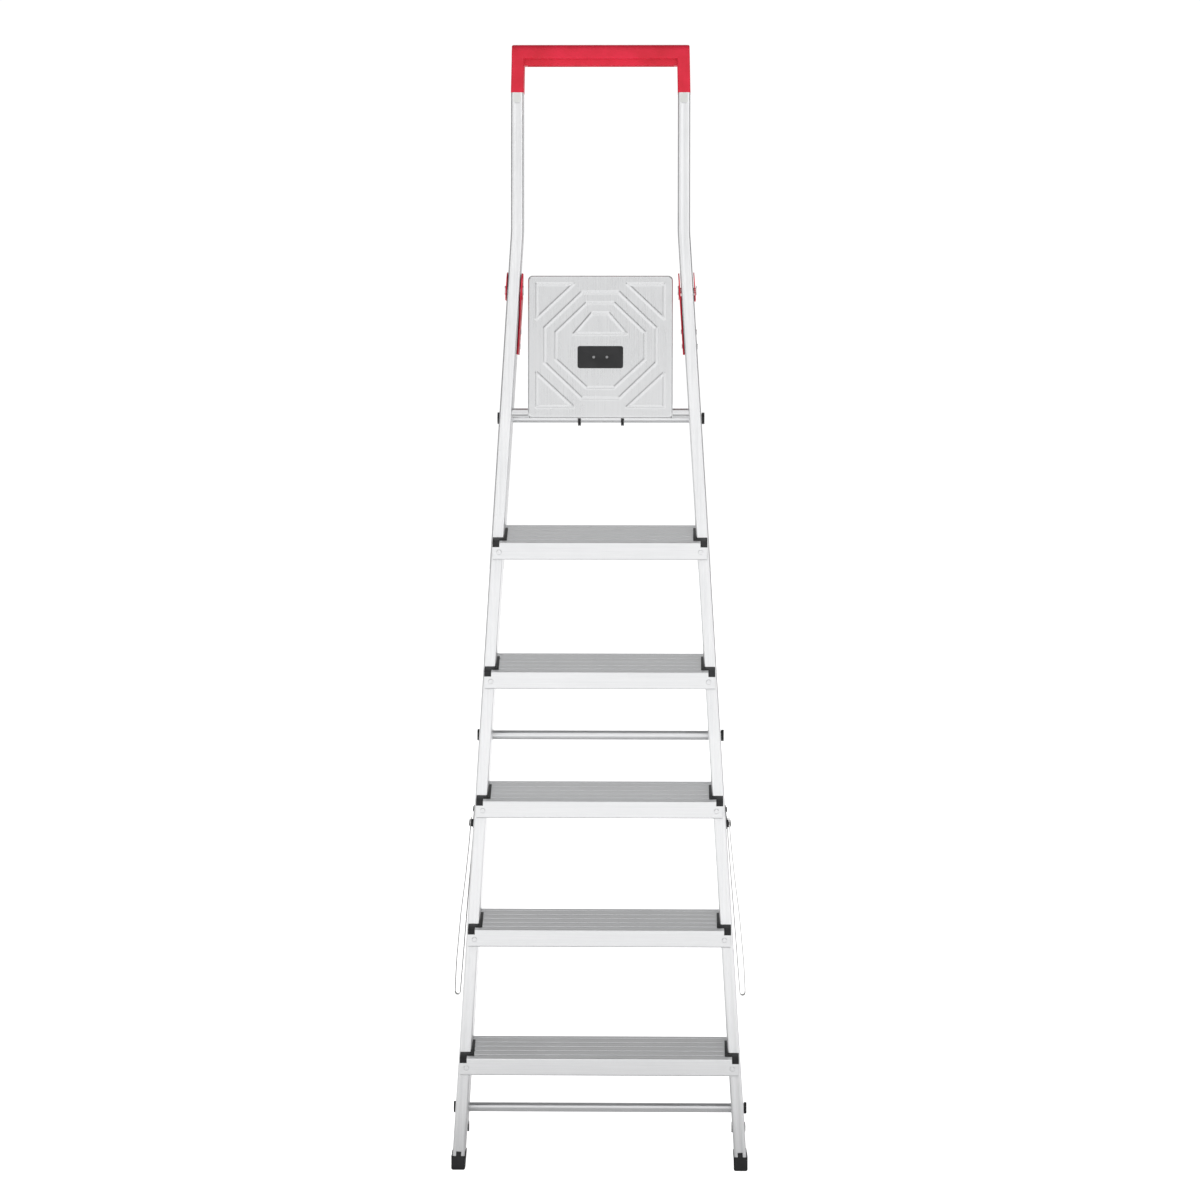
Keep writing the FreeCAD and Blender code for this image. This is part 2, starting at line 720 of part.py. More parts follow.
def shifted(points, by):
    """The outline moved inwards by a share of the ridge's width, as expressions."""
    area = sum(a[0] * b[1] - b[0] * a[1] for a, b in zip(points, points[1:] + points[:1]))
    turn = 1 if area > 0 else -1
    result = []
    for before, here, after in zip(points[-1:] + points[:-1], points, points[1:] + points[:1]):
        one = Vector(before[1] - here[1], here[0] - before[0], 0).normalize() * turn
        two = Vector(here[1] - after[1], after[0] - here[0], 0).normalize() * turn
        move = (one + two) * (by / (1 + one.dot(two)))
        result.append(("%s + %.4f * ridge_wide" % (here[0], move.x), "%s + %.4f * ridge_wide" % (here[1], move.y)))
    return result


def platform_plate():
    """A drawn tray: its top faces the front while folded, with a rim all round and two axle ears."""
    body = new_body("plate_tray")
    far = "plate_sheet + plate_off + ear_radius"
    low = "-plate_long / 2"
    shell = new_sketch(body, "XZ_Plane")
    rounded_rectangle(shell, "plate_wide / 2", "plate_long / 2", "plate_corner")
    pad(body, shell, far, reverse=True)
    doc.recompute()
    behind = new_sketch(body, "YZ_Plane")
    outline(behind, [
        ("plate_rim", low + " + 32"), (far, low + " + 18"), (far + " + 1", low + " + 18"),
        (far + " + 1", "plate_long / 2 + 1"), ("plate_rim", "plate_long / 2 + 1"),
    ])
    pocket(body, behind, "2 * plate_wide", symmetric=True)
    heel = new_sketch(body, "YZ_Plane")
    outline(heel, [(far + " - 6", low + " - 1"), (far + " + 1", low + " - 1"), (far + " + 1", low + " + 6")])
    pocket(body, heel, "2 * plate_wide", symmetric=True)
    doc.recompute()
    hollow = new_sketch(body, "XZ_Plane", "-plate_sheet")
    rounded_rectangle(hollow, "plate_wide / 2 - plate_sheet", "plate_long / 2 - plate_sheet",
                      "plate_corner - plate_sheet")
    pocket(body, hollow, "plate_rim + 20")
    doc.recompute()
    tray = body.Tip
    edges = body.newObject("PartDesign::Fillet", "tray_edges")
    front = ["Edge%d" % i for i, edge in enumerate(body.Shape.Edges, start=1) if edge.BoundBox.YMax < 0.01]
    edges.Base = (tray, front)
    edges.Radius = 1.2
    body.Tip = edges
    doc.recompute()
    for points in RIDGE_SHAPES:
        sketch = new_sketch(body, "XZ_Plane", "-0.2")
        outline(sketch, shifted(points, -0.5))
        outline(sketch, shifted(points, 0.5))
        pad(body, sketch, "ridge_tall + 0.2")
        doc.recompute()
    place(body, "0", PLATE_BACK + " - plate_sheet", PLATE_LOW + " + plate_long / 2")
    bores = [
        cross_cylinder("axle_radius + bush_wall", "plate_wide + 2", AXLE_Y, "axle_height"),
        cross_cylinder("axle_radius + bush_wall + 0.45", "plate_wide - 2 * plate_sheet", AXLE_Y, "axle_height"),
    ]
    window = box("insert_wide - 6", "6", "insert_tall - 6",
                 ("-insert_wide / 2 + 3", PLATE_BACK + " - 3", "axle_height + insert_up - insert_tall / 2 + 3"))
    return cut(body, bores + [window])


keep(platform_plate(), "platform_plate")

for name, side in SIDES.items():
    x = "%d * (plate_wide / 2 - 3)" % side
    flange_x = "%d * (plate_wide / 2 - plate_sheet - 1.6)" % side
    sleeve = cross_cylinder("axle_radius + bush_wall - 0.02", "6", AXLE_Y, "axle_height", x)
    flange = cross_cylinder("axle_radius + bush_wall + 0.4", "3", AXLE_Y, "axle_height", flange_x)
    bore = cross_cylinder("axle_radius + 0.05", "20", AXLE_Y, "axle_height", x)
    keep(cut(fuse([sleeve, flange]), [bore]), name + "_axle_bush")


def insert_rivets(grow, length, ahead):
    z = "axle_height + insert_up"
    return [cylinder("small_head / 1.5 + (%s)" % grow, length,
                     ("%d * insert_pitch / 2" % side, PLATE_BACK + " - plate_sheet - (%s)" % ahead, z),
                     (1, 0, 0), "-90") for side in (-1, 1)]


def platform_insert():
    """A black moulding that fills the tray's window, with a lip over its edge."""
    z = "axle_height + insert_up - insert_tall / 2"
    body = new_body("insert_face")
    sketch = new_sketch(body, "XZ_Plane")
    rounded_rectangle(sketch, "insert_wide / 2", "insert_tall / 2", "4")
    pad(body, sketch, "insert_proud", reverse=True)
    place(body, "0", PLATE_BACK + " - plate_sheet - insert_proud", z + " + insert_tall / 2")
    core = box("insert_wide - 6.4", "plate_sheet + 2", "insert_tall - 6.4",
               ("-insert_wide / 2 + 3.2", PLATE_BACK + " - plate_sheet - 0.01", z + " + 3.2"))
    return cut(fuse([body, core]), insert_rivets("0.02", "12", "3"))


keep(platform_insert(), "platform_insert")


def platform_latch():
    """A springy tongue riveted behind the insert, with jaws that snap over the rear crossbar."""
    z0 = "axle_height + insert_up - 12"
    y0 = PLATE_BACK + " + 2.05"
    arm = box("50", "3", "latch_reach - insert_up + 12 + 18", ("-25", y0, z0))
    seat = box("64", "7.4 - 2.05", "30", ("-32", y0, "axle_height + latch_reach - 15"))
    jaws = [box("64", "15.5", "4", ("-32", y0, "axle_height + latch_reach + (%s)" % dz))
            for dz in ("-13.2 - 4", "13.2")]
    return cut(fuse([arm, seat] + jaws), insert_rivets("0.02", "12", "3"))


keep(platform_latch(), "platform_latch")

heads = []
for x in ("-insert_pitch / 2", "insert_pitch / 2"):
    z = "axle_height + insert_up"
    face = PLATE_BACK + " - plate_sheet - insert_proud"
    shank = cylinder("small_head / 1.5", "10", (x, face, z), (1, 0, 0), "-90")
    cap = cylinder("small_head", "0.8", (x, face + " - 0.82", z), (1, 0, 0), "-90")
    tail = cylinder("small_head", "1.2", (x, PLATE_BACK + " + 5.1", z), (1, 0, 0), "-90")
    link = cylinder("small_head / 1.5", "1", (x, face + " - 0.5", z), (1, 0, 0), "-90")
    heads.append(fuse([shank, cap, tail, link]))
keep(group(heads), "platform_rivets")

# ---------------------------------------------------------------- hinge pins

PIVOT_Y = "(face_y + pivot_back)"
OUTER_FACE = "(rail_width / 2 + cheek_gap + cheek_outer)"
INNER_FACE = "(rail_width / 2 + cheek_gap + cheek_inner)"
pins = []
for name, side in SIDES.items():
    centre = rail_centre(side, "pivot_height")
    span = "(%s + %s + 2.2 + boss_proud + 1.2)" % (OUTER_FACE, INNER_FACE)
    shank = cross_cylinder("pin_radius", span, PIVOT_Y, "pivot_height",
                           "%s + %d * (%s - %s - boss_proud + 0.6) / 2" % (centre, side, OUTER_FACE, INNER_FACE))
    outer = cross_cylinder("pin_radius + 3.5", "1.4", PIVOT_Y, "pivot_height",
                           "%s + %d * (%s + 0.8 + 0.7)" % (centre, side, OUTER_FACE))
    inner = cross_cylinder("pin_radius + 3.5", "1.4", PIVOT_Y, "pivot_height",
                           "%s - %d * (%s + boss_proud + 0.15 + 0.7)" % (centre, side, INNER_FACE))
    pins.append(fuse([shank, outer, inner]))
    rail_tools[name].append(cross_cylinder("pin_radius + 0.02", "80", PIVOT_Y, "pivot_height", centre))
keep(group(pins), "hinge_pins")

# ---------------------------------------------------------------- rear frame

LEG_Y = "(face_y + rail_depth + leg_gap + leg_depth / 2)"
leg_tools = {side: [] for side in SIDES}


def along_leg(obj, side, x="0", y="0", z="0"):
    return place_leaning(obj, side, (rail_centre(side, "leg_bottom"), LEG_Y, "leg_bottom"), x, y, z)


def leg_hull(side, grow, length):
    obj = box("rail_width + 2 * (%s)" % grow, "leg_depth + 2 * (%s)" % grow, length)
    return along_leg(obj, side, "-rail_width / 2 - (%s)" % grow, "-leg_depth / 2 - (%s)" % grow)


def rear_leg(side):
    name = "left" if side < 0 else "right"
    body = new_body(name + "_leg_tube")
    sketch = new_sketch(body, "XY_Plane")
    rounded_rectangle(sketch, "rail_width / 2", "leg_depth / 2", "rail_corner", "rail_flute")
    length = "(leg_top - leg_bottom) / cos(%s)" % TAPER
    pad(body, sketch, length)
    doc.recompute()
    bore = new_sketch(body, "XY_Plane")
    rounded_rectangle(bore, "rail_width / 2 - leg_wall", "leg_depth / 2 - leg_wall", "rail_corner - leg_wall")
    pocket(body, bore, length, reverse=True)
    return along_leg(body, side)


legs = {name: rear_leg(side) for name, side in SIDES.items()}
BARS = {"upper": "bar_upper", "middle": "bar_middle", "lower": "bar_lower"}
bars = {}
caps = []
for level, height in BARS.items():
    half = "(%s + 0.6)" % half_at(height)
    tube = cross_cylinder("bar_radius", "2 * " + half, LEG_Y, height)
    bore = cross_cylinder("bar_radius - bar_wall", "2 * %s + 2" % half, LEG_Y, height)
    bars[level] = cut(tube, [bore])
    for name, side in SIDES.items():
        leg_tools[name].append(cross_cylinder("bar_radius + 0.03", "2 * %s + 20" % half, LEG_Y, height))
        flange = cross_cylinder("bar_cap_radius", "bar_cap_proud - 0.8", LEG_Y, height,
                                "%d * (%s + (bar_cap_proud + 1.0) / 2)" % (side, half_at(height)))
        plug = cross_cylinder("bar_radius - bar_wall - 0.05", "14", LEG_Y, height,
                              "%d * (%s - 5)" % (side, half))
        caps.append((level, flange, plug))

for level, bar in bars.items():
    keep(bar, level + "_crossbar")
for level in BARS:
    pieces = [fuse([flange, plug]) for where, flange, plug in caps if where == level]
    keep(group(pieces), level + "_crossbar_caps")


def hinge_bracket(side):
    """A moulded fork: two cheeks over the front rail at the pivot, and a socket for the rear leg."""
    name = "left" if side < 0 else "right"
    drop = "(pivot_height - leg_bottom) / cos(%s)" % TAPER
    pivot = "(pivot_back - rail_depth - leg_gap - leg_depth / 2)"
    low = drop + " - 112"
    back = "leg_depth / 2 + 2"
    crown = [
        (pivot + " + 30", drop + " + 22"), (pivot + " + 14", drop + " + 31"), (pivot + " - 10", drop + " + 31"),
        (pivot + " - 20", drop + " + 21"),
    ]
    long_cheek = [(pivot + " + 12", low), (back, low), (back, drop + " - 18")] + crown + [
        (pivot + " - 20", drop + " - 14"), (pivot + " + 4", drop + " - 44"),
    ]
    short_cheek = [(back, drop + " - 18"), (back, drop + " - 10")] + crown + [
        (pivot + " - 20", drop + " - 8"), (pivot + " - 10", drop + " - 18"),
    ]

    def plate(points, thick, offset):
        body = new_body(name + "_cheek")
        outline(new_sketch(body, "YZ_Plane"), points)
        pad(body, body.Group[-1], thick, symmetric=True)
        return along_leg(body, side, offset, "0", "0")

    outer = plate(short_cheek, "cheek_outer", "%d * (%s - cheek_outer / 2)" % (side, OUTER_FACE))
    inner = plate(long_cheek, "cheek_inner", "-%d * (%s - cheek_inner / 2)" % (side, INNER_FACE))
    wide = "%s + %s" % (OUTER_FACE, INNER_FACE)
    edge_x = "-" + (INNER_FACE if side > 0 else OUTER_FACE)
    socket = box(wide, "leg_depth + 4", "112 - 38")
    along_leg(socket, side, edge_x, "-leg_depth / 2 - 2", low)
    bridge = box(wide, "leg_depth + 1", "30.5")
    along_leg(bridge, side, edge_x, "-leg_depth / 2 + 1", drop + " - 38.5")
    relief = box("20", "leg_depth + 6", "94")
    along_leg(relief, side, "rail_width / 2" if side > 0 else "-rail_width / 2 - 20", "-leg_depth / 2 - 3", low)
    boss = cross_cylinder("boss_radius", "boss_proud + 0.5", PIVOT_Y, "pivot_height",
                          "%s - %d * (%s + boss_proud / 2 - 0.25)"
                          % (rail_centre(side, "pivot_height"), side, INNER_FACE))
    hollow = leg_hull(side, "0.05", drop + " - 38.5")
    channel = box("rail_width + 2 * cheek_gap", "rail_depth + 1", "400")
    along_leg(channel, side, "-rail_width / 2 - cheek_gap", pivot + " - pivot_back - 0.5", drop + " - 300")
    hole = cross_cylinder("pin_radius + 0.05", "90", PIVOT_Y, "pivot_height", rail_centre(side, "pivot_height"))
    body = fuse([outer, inner, cut(fuse([socket, bridge]), [relief]), boss])
    return cut(body, [hollow, channel, hole] + bracket_holes(side))


def bracket_holes(side):
    return [cross_cylinder("2.5", "80", LEG_Y, "pivot_height - %d" % drop, rail_centre(side, "pivot_height - %d" % drop))
            for drop in (72, 98)]


bracket_rivets = []
for name, side in SIDES.items():
    bracket = hinge_bracket(side)
    keep(bracket, name + "_hinge_bracket")
    for drop in (72, 98):
        height = "(pivot_height - %d)" % drop
        centre = rail_centre(side, height)
        shank = cross_cylinder("2.48", "rail_width + cheek_gap + cheek_inner + 2.4", LEG_Y, height,
                               "%s - %d * (cheek_gap + cheek_inner) / 2" % (centre, side))
        inner = cross_cylinder("4.5", "1", LEG_Y, height, "%s - %d * (%s + 0.86)" % (centre, side, INNER_FACE))
        outer = cross_cylinder("4.5", "1.4", LEG_Y, height, "%s + %d * (rail_width / 2 + 1.0)" % (centre, side))
        bracket_rivets.append(fuse([shank, inner, outer]))
        leg_tools[name].append(cross_cylinder("2.5", "80", LEG_Y, height, centre))
keep(group(bracket_rivets), "bracket_rivets")


def rear_foot(side):
    """A shoe on the rear leg, its sole tilted so that it lies flat when the ladder stands open."""
    name = "left" if side < 0 else "right"
    body = new_body(name + "_rear_shoe")
    sketch = new_sketch(body, "YZ_Plane")
    deep = "(leg_depth / 2 + 1.3)"
    outline(sketch, [
        ("-" + deep, "2 * %s * tan(14)" % deep), (deep + " - 3", "0"), (deep, "3"),
        (deep, "rear_foot_tall"), ("-" + deep, "rear_foot_tall"),
    ], {1: ("3.6", 1)})
    pad(body, sketch, "foot_wide", symmetric=True)
    place(body, rail_centre(side, "rear_foot_low + 9"), LEG_Y, "rear_foot_low")
    hull = leg_hull(side, "0.1", "200")
    plug = box("rail_width - 2 * leg_wall - 1.8", "leg_depth - 2 * leg_wall - 1.8", "16")
    along_leg(plug, side, "-rail_width / 2 + leg_wall + 0.9", "-leg_depth / 2 + leg_wall + 0.9", "-2")
    return keep(fuse([cut(body, [hull]), plug]), name + "_rear_foot")


for name, side in SIDES.items():
    rear_foot(side)

# the catch that the platform's latch snaps over: a saddle on the upper crossbar with a ring at each end
saddle = box("76", "14", "14", ("-38", LEG_Y + " - 4.8", "bar_upper"))
rings = [cross_cylinder("bar_radius + catch_ring", "5", LEG_Y, "bar_upper", "%d * 38.6" % side)
         for side in SIDES.values()]
top_trim = box("90", "40", "20", ("-45", LEG_Y + " - 20", "bar_upper + bar_radius + catch_proud"))
catch_bore = cross_cylinder("bar_radius + 0.02", "100", LEG_Y, "bar_upper")
keep(cut(fuse([saddle] + rings), [catch_bore, top_trim]), "crossbar_catch")

# ---------------------------------------------------------------- spreader straps and their anchors

def strap_frame(side):
    """The plane that both strands of a hanging strap lie along: its two anchors and its lowest point."""
    x = side * (num(half_at("anchor_height")) + num("strap_off"))
    front = Vector(x, num("face_y + rail_depth / 2"), num("anchor_height"))
    rear = Vector(x, num(LEG_Y), num("anchor_height"))
    low = Vector(side * num("loop_half"), (front.y + rear.y) / 2, num("loop_height"))
    normal = (rear - front).cross(low - front).normalize()
    if normal.x * side < 0:
        normal = normal * -1
    return front, rear, low, normal


def strand(top, bottom, normal, hole):
    """A flat strand with round ends and an eye for its stud."""
    wide, thick = num("strap_wide"), num("strap_thick")
    along = (bottom - top).normalize()
    across = normal.cross(along)
    lift = normal * (-thick / 2)
    start = top + lift
    stop = bottom + lift
    half = across * (wide / 2)
    wire = Part.Wire([
        Part.LineSegment(start + half, stop + half).toShape(),
        Part.Arc(stop + half, stop + along * (wide / 2), stop - half).toShape(),
        Part.LineSegment(stop - half, start - half).toShape(),
        Part.Arc(start - half, start - along * (wide / 2), start + half).toShape(),
    ])
    solid = Part.Face(wire).extrude(normal * thick)
    eye = Part.makeCylinder(hole, 10, top - normal * 5, normal)
    return solid.cut(eye)


def shaped(label, shape):
    obj = doc.addObject("Part::Feature", label)
    obj.Shape = shape
    obj.Placement = Placement()
    return keep(obj, label)


def backplate(side):
    """A thin plate riveted to the rail's outer face, from which the strap's stud stands out."""
    wide, tall = num("backplate_wide"), num("backplate_tall")
    centre = Vector(num(side_x(side, "anchor_height")), num("face_y + rail_depth / 2"), num("anchor_height"))
    turn = Rotation(Vector(0, 1, 0), num(lean(side)))
    plate = Part.makeBox(num("backplate_thick") + 0.1, wide, tall,
                         Vector(-0.1 if side > 0 else -num("backplate_thick"), -wide / 2, -wide / 2))
    knob = Part.makeCylinder(num("rivet_head"), 3.4, Vector(-side * 0.1, 0, tall - wide / 2 - 7), Vector(side, 0, 0))
    whole = plate.fuse(knob)
    whole.Placement = Placement(centre, turn)
    return whole


def disc(centre, normal, radius, low, high):
    return Part.makeCylinder(radius, high - low, centre + normal * low, normal)


for name, side in SIDES.items():
    front, rear, low, normal = strap_frame(side)
    gap, thick, stud = num("strap_gap"), num("strap_thick"), num("stud_radius")
    lowest = low + (front - low).normalize() * (num("strap_wide") / 2)
    lowest_rear = low + (rear - low).normalize() * (num("strap_wide") / 2)
    shaped(name + "_strap_front", strand(front + normal * gap, lowest + normal * gap, normal, stud + 0.5))
    shaped(name + "_strap_rear", strand(rear - normal * gap, lowest_rear - normal * gap, normal, stud + 0.5))
    reach = -num("strap_off") - 0.4
    rivet = disc(rear, normal, stud, -gap - thick / 2, -gap + thick / 2 + 0.5)
    shaped(name + "_strap_rivet", rivet.fuse(disc(rear, normal, stud + 3, -gap + thick / 2, -gap + thick / 2 + 1.4)))
    stock = {
        "front": disc(front, normal, stud, reach, gap + thick / 2 + 0.5)
        .fuse(disc(front, normal, stud + 3, gap + thick / 2 + 0.5, gap + thick / 2 + 2))
        .fuse(disc(front, normal, stud + 4, reach, gap - thick / 2 - 0.6))
        .fuse(backplate(side)),
        "rear": disc(rear, normal, stud + 4, reach, -gap - thick / 2 - 0.35),
    }
    for where, shape in stock.items():
        seat = rail_hull(side, "0.02") if where == "front" else leg_hull(side, "0.02", "1400")
        solid = doc.addObject("Part::Feature", "anchor_stock")
        solid.Shape = shape.removeSplitter()
        keep(cut(solid, [seat]), "%s_%s_strap_anchor" % (name, where))

# ---------------------------------------------------------------- finished tubes

for name in SIDES:
    keep(cut(rails[name], rail_tools[name]), name + "_front_rail")
    keep(cut(legs[name], leg_tools[name]), name + "_rear_leg")

doc.recompute()

# ---------------------------------------------------------------- checks and output

for obj in doc.Objects:
    if "Invalid" in obj.State or "Error" in obj.State:
        raise RuntimeError("%s (%s) did not compute: %s" % (obj.Name, obj.Label, obj.State))

labels = [part.Label for part in subparts]
if len(set(labels)) != len(labels) or len(labels) > 60:
    raise RuntimeError("sub-part names are repeated, or there are too many: %d" % len(labels))

os.makedirs("parts", exist_ok=True)
for part in subparts:
    if part.Shape.isNull() or not part.Shape.isValid() or not part.Shape.Solids:
        raise RuntimeError(part.Label + " has no valid solid")
    part.Shape.exportStep(os.path.join("parts", part.Label + ".step"))
    spread = part.Shape.BoundBox
    print("%-26s %2d solid  %9.0f mm3  x %8.1f %8.1f  y %7.1f %7.1f  z %7.1f %7.1f" % (
        part.Label, len(part.Shape.Solids), part.Shape.Volume,
        spread.XMin, spread.XMax, spread.YMin, spread.YMax, spread.ZMin, spread.ZMax))

whole = subparts[0].Shape.BoundBox
for part in subparts[1:]:
    whole.add(part.Shape.BoundBox)
print("whole", whole)
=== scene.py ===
import json
import math

import bmesh
import bpy
import numpy as np
from mathutils import Matrix, Vector


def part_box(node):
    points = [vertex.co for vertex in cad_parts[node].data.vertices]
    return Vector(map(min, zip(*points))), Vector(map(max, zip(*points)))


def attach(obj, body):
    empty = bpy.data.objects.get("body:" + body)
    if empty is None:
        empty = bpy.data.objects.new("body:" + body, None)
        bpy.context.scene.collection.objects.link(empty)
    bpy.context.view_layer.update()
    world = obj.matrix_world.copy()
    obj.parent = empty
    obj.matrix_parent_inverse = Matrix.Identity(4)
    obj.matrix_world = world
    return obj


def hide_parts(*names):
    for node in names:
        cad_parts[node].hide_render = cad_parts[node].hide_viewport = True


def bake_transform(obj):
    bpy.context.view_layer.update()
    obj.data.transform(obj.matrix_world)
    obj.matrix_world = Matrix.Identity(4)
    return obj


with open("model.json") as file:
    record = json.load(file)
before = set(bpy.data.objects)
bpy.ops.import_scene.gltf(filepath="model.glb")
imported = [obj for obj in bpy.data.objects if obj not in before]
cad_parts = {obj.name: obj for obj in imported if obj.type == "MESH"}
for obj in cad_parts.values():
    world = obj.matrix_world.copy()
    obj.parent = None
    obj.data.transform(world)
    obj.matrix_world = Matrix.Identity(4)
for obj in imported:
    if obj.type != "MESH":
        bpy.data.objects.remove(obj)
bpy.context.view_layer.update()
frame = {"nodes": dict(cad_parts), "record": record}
NODES = frame["nodes"]
SIDES = {"left": -1, "right": 1}
MM = 0.001

BODY_OF = {}
for body_name, members in frame["record"]["behaviour"]["bodies"].items():
    for member in members:
        BODY_OF[member] = body_name
SLOT_OF = {part["node"]: part["material_slot"] for part in frame["record"]["subparts"]}


# ---------------------------------------------------------------- node materials

class Graph:
    """A short way to write a node material: every call adds a node and returns its output."""

    def __init__(self, name):
        self.mat = bpy.data.materials.new(name)
        self.mat.use_nodes = True
        self.tree = self.mat.node_tree
        self.shader = self.tree.nodes["Principled BSDF"]

    def node(self, kind, inputs=None, out=0, **props):
        made = self.tree.nodes.new(kind)
        for key, value in props.items():
            setattr(made, key, value)
        for key, value in (inputs or {}).items():
            if hasattr(value, "is_linked"):
                self.tree.links.new(value, made.inputs[key])
            else:
                made.inputs[key].default_value = value
        return made.outputs[out]

    def coords(self, source="Object", scale=(1, 1, 1), rotation=(0, 0, 0)):
        place = self.node("ShaderNodeTexCoord", out=source)
        return self.node("ShaderNodeMapping", {"Vector": place, "Scale": scale, "Rotation": rotation})

    def noise(self, vector, scale, detail=3.0, rough=0.5):
        return self.node("ShaderNodeTexNoise",
                         {"Vector": vector, "Scale": scale, "Detail": detail, "Roughness": rough})

    def span(self, value, low, high, to_low, to_high):
        limits = {"From Min": low, "From Max": high, "To Min": to_low, "To Max": to_high}
        return self.node("ShaderNodeMapRange", {"Value": value, **limits})

    def math(self, operation, a, b=0.0):
        return self.node("ShaderNodeMath", {0: a, 1: b}, operation=operation)

    def blend_colour(self, factor, a, b):
        made = self.tree.nodes.new("ShaderNodeMix")
        made.data_type = "RGBA"
        self.tree.links.new(factor, made.inputs[0])
        for key, value in ((6, a), (7, b)):
            if hasattr(value, "is_linked"):
                self.tree.links.new(value, made.inputs[key])
            else:
                made.inputs[key].default_value = (*value, 1.0)
        return made.outputs[2]

    def bump(self, height, distance, strength=1.0, after=None):
        inputs = {"Height": height, "Distance": distance, "Strength": strength}
        if after is not None:
            inputs["Normal"] = after
        return self.node("ShaderNodeBump", inputs)

    def set(self, **values):
        """Constants go on the shader's own sockets; a node's output is linked."""
        names = {"colour": "Base Color", "rough": "Roughness", "metal": "Metallic", "normal": "Normal",
                 "specular": "Specular IOR Level", "sheen": "Sheen Weight", "sheen_rough": "Sheen Roughness"}
        for key, value in values.items():
            socket = self.shader.inputs[names[key]]
            if hasattr(value, "is_linked"):
                self.tree.links.new(value, socket)
            elif key == "colour":
                socket.default_value = (*value, 1.0)
            else:
                socket.default_value = value
        return self.mat


def aluminium(name, dark, light, grain, rough=(0.3, 0.42), depth=0.00006, marks=0.5):
    """Satin aluminium with drawn grain along one axis, faint handling marks and cloudy tone."""
    g = Graph(name)
    stretch = [1.0, 1.0, 1.0]
    stretch["xyz".index(grain)] = 0.012
    along = g.coords(scale=stretch)
    fine = g.noise(along, 2600.0, 2.0)
    broad = g.noise(along, 420.0, 3.0)
    cloud = g.noise(g.coords(), 9.0, 4.0)
    smudge = g.noise(g.coords(), 55.0, 5.0, 0.6)
    streak = g.math("ADD", g.math("MULTIPLY", fine, 0.35), g.math("MULTIPLY", broad, 0.35))
    tone = g.math("ADD", streak, g.math("MULTIPLY", cloud, 0.3))
    g.set(colour=g.blend_colour(g.span(tone, 0.36, 0.64, 0.0, 1.0), dark, light))
    worn = g.math("MULTIPLY", g.span(smudge, 0.56, 0.72, 0.0, 1.0), marks * 0.09)
    g.set(rough=g.math("ADD", g.span(tone, 0.35, 0.65, rough[0], rough[1]), worn))
    g.set(normal=g.bump(streak, depth, 0.5, g.bump(smudge, 0.00008, 0.12)))
    return g.set(metal=1.0)


def plastic(name, dark, light, rough=0.5, grain=1400.0, depth=0.00007, specular=0.5, wear=0.06):
    """Moulded plastic with a fine eroded texture, cloudy tone and a little scuffing."""
    g = Graph(name)
    here = g.coords()
    pebble = g.noise(here, grain, 2.0, 0.6)
    cloud = g.noise(here, 24.0, 4.0)
    scuff = g.noise(g.coords(scale=(1.0, 1.0, 0.3)), 210.0, 4.0, 0.7)
    g.set(colour=g.blend_colour(g.span(cloud, 0.35, 0.65, 0.0, 1.0), dark, light))
    g.set(rough=g.math("ADD", g.span(pebble, 0.3, 0.7, rough - 0.05, rough + 0.07),
                       g.span(scuff, 0.6, 0.75, 0.0, wear)))
    g.set(normal=g.bump(pebble, depth, 0.6, g.bump(cloud, 0.0004, 0.05)))
    return g.set(specular=specular)


def webbing_material():
    """Woven polyester: ribs across the strap's length, crossed by finer yarns, from its own UVs in metres."""
    g = Graph("webbing_weave")
    uv = g.node("ShaderNodeTexCoord", out="UV")

    def bands(scale, distortion, direction):
        inputs = {"Vector": uv, "Scale": scale, "Distortion": distortion, "Detail": 1.0, "Detail Scale": 2.0}
        return g.node("ShaderNodeTexWave", inputs, out=1, bands_direction=direction, wave_profile="SIN")

    ribs = bands(250.0, 0.4, "X")
    yarns = bands(340.0, 0.6, "Y")
    weave = g.math("ADD", g.math("MULTIPLY", ribs, 0.55), g.math("MULTIPLY", yarns, 0.45))
    fuzz = g.noise(uv, 900.0, 3.0, 0.6)
    tone = g.math("ADD", g.math("MULTIPLY", weave, 0.7), g.math("MULTIPLY", fuzz, 0.3))
    shaded, lit = (0.50, 0.50, 0.49), (0.86, 0.86, 0.85)
    g.set(colour=g.blend_colour(g.span(tone, 0.2, 0.8, 0.0, 1.0), shaded, lit))
    g.set(rough=g.span(fuzz, 0.3, 0.7, 0.78, 0.92))
    g.set(normal=g.bump(weave, 0.00035, 0.9, g.bump(fuzz, 0.0002, 0.4)))
    return g.set(sheen=0.25, sheen_rough=0.5, specular=0.3)


RAIL_METAL = aluminium(
    "rail_aluminium", (0.66, 0.665, 0.673), (0.78, 0.782, 0.788), "z", (0.27, 0.38))
TREAD_METAL = aluminium(
    "tread_aluminium", (0.67, 0.675, 0.683), (0.765, 0.768, 0.775), "x", (0.32, 0.44))
PLATE_METAL = aluminium(
    "plate_aluminium", (0.575, 0.58, 0.586), (0.645, 0.648, 0.654), "z", (0.25, 0.34), 0.00004)
TUBE_METAL = aluminium(
    "tube_aluminium", (0.62, 0.625, 0.635), (0.745, 0.748, 0.755), "x", (0.26, 0.37))
STEEL = aluminium(
    "zinc_steel", (0.52, 0.525, 0.53), (0.68, 0.68, 0.685), "x", (0.25, 0.4), 0.00004)
RIVET_STEEL = aluminium(
    "rivet_steel", (0.20, 0.20, 0.205), (0.30, 0.30, 0.305), "y", (0.35, 0.5), 0.00004)
BLACK = plastic(
    "black_plastic", (0.010, 0.0103, 0.011), (0.020, 0.020, 0.0215), 0.46, specular=0.34)
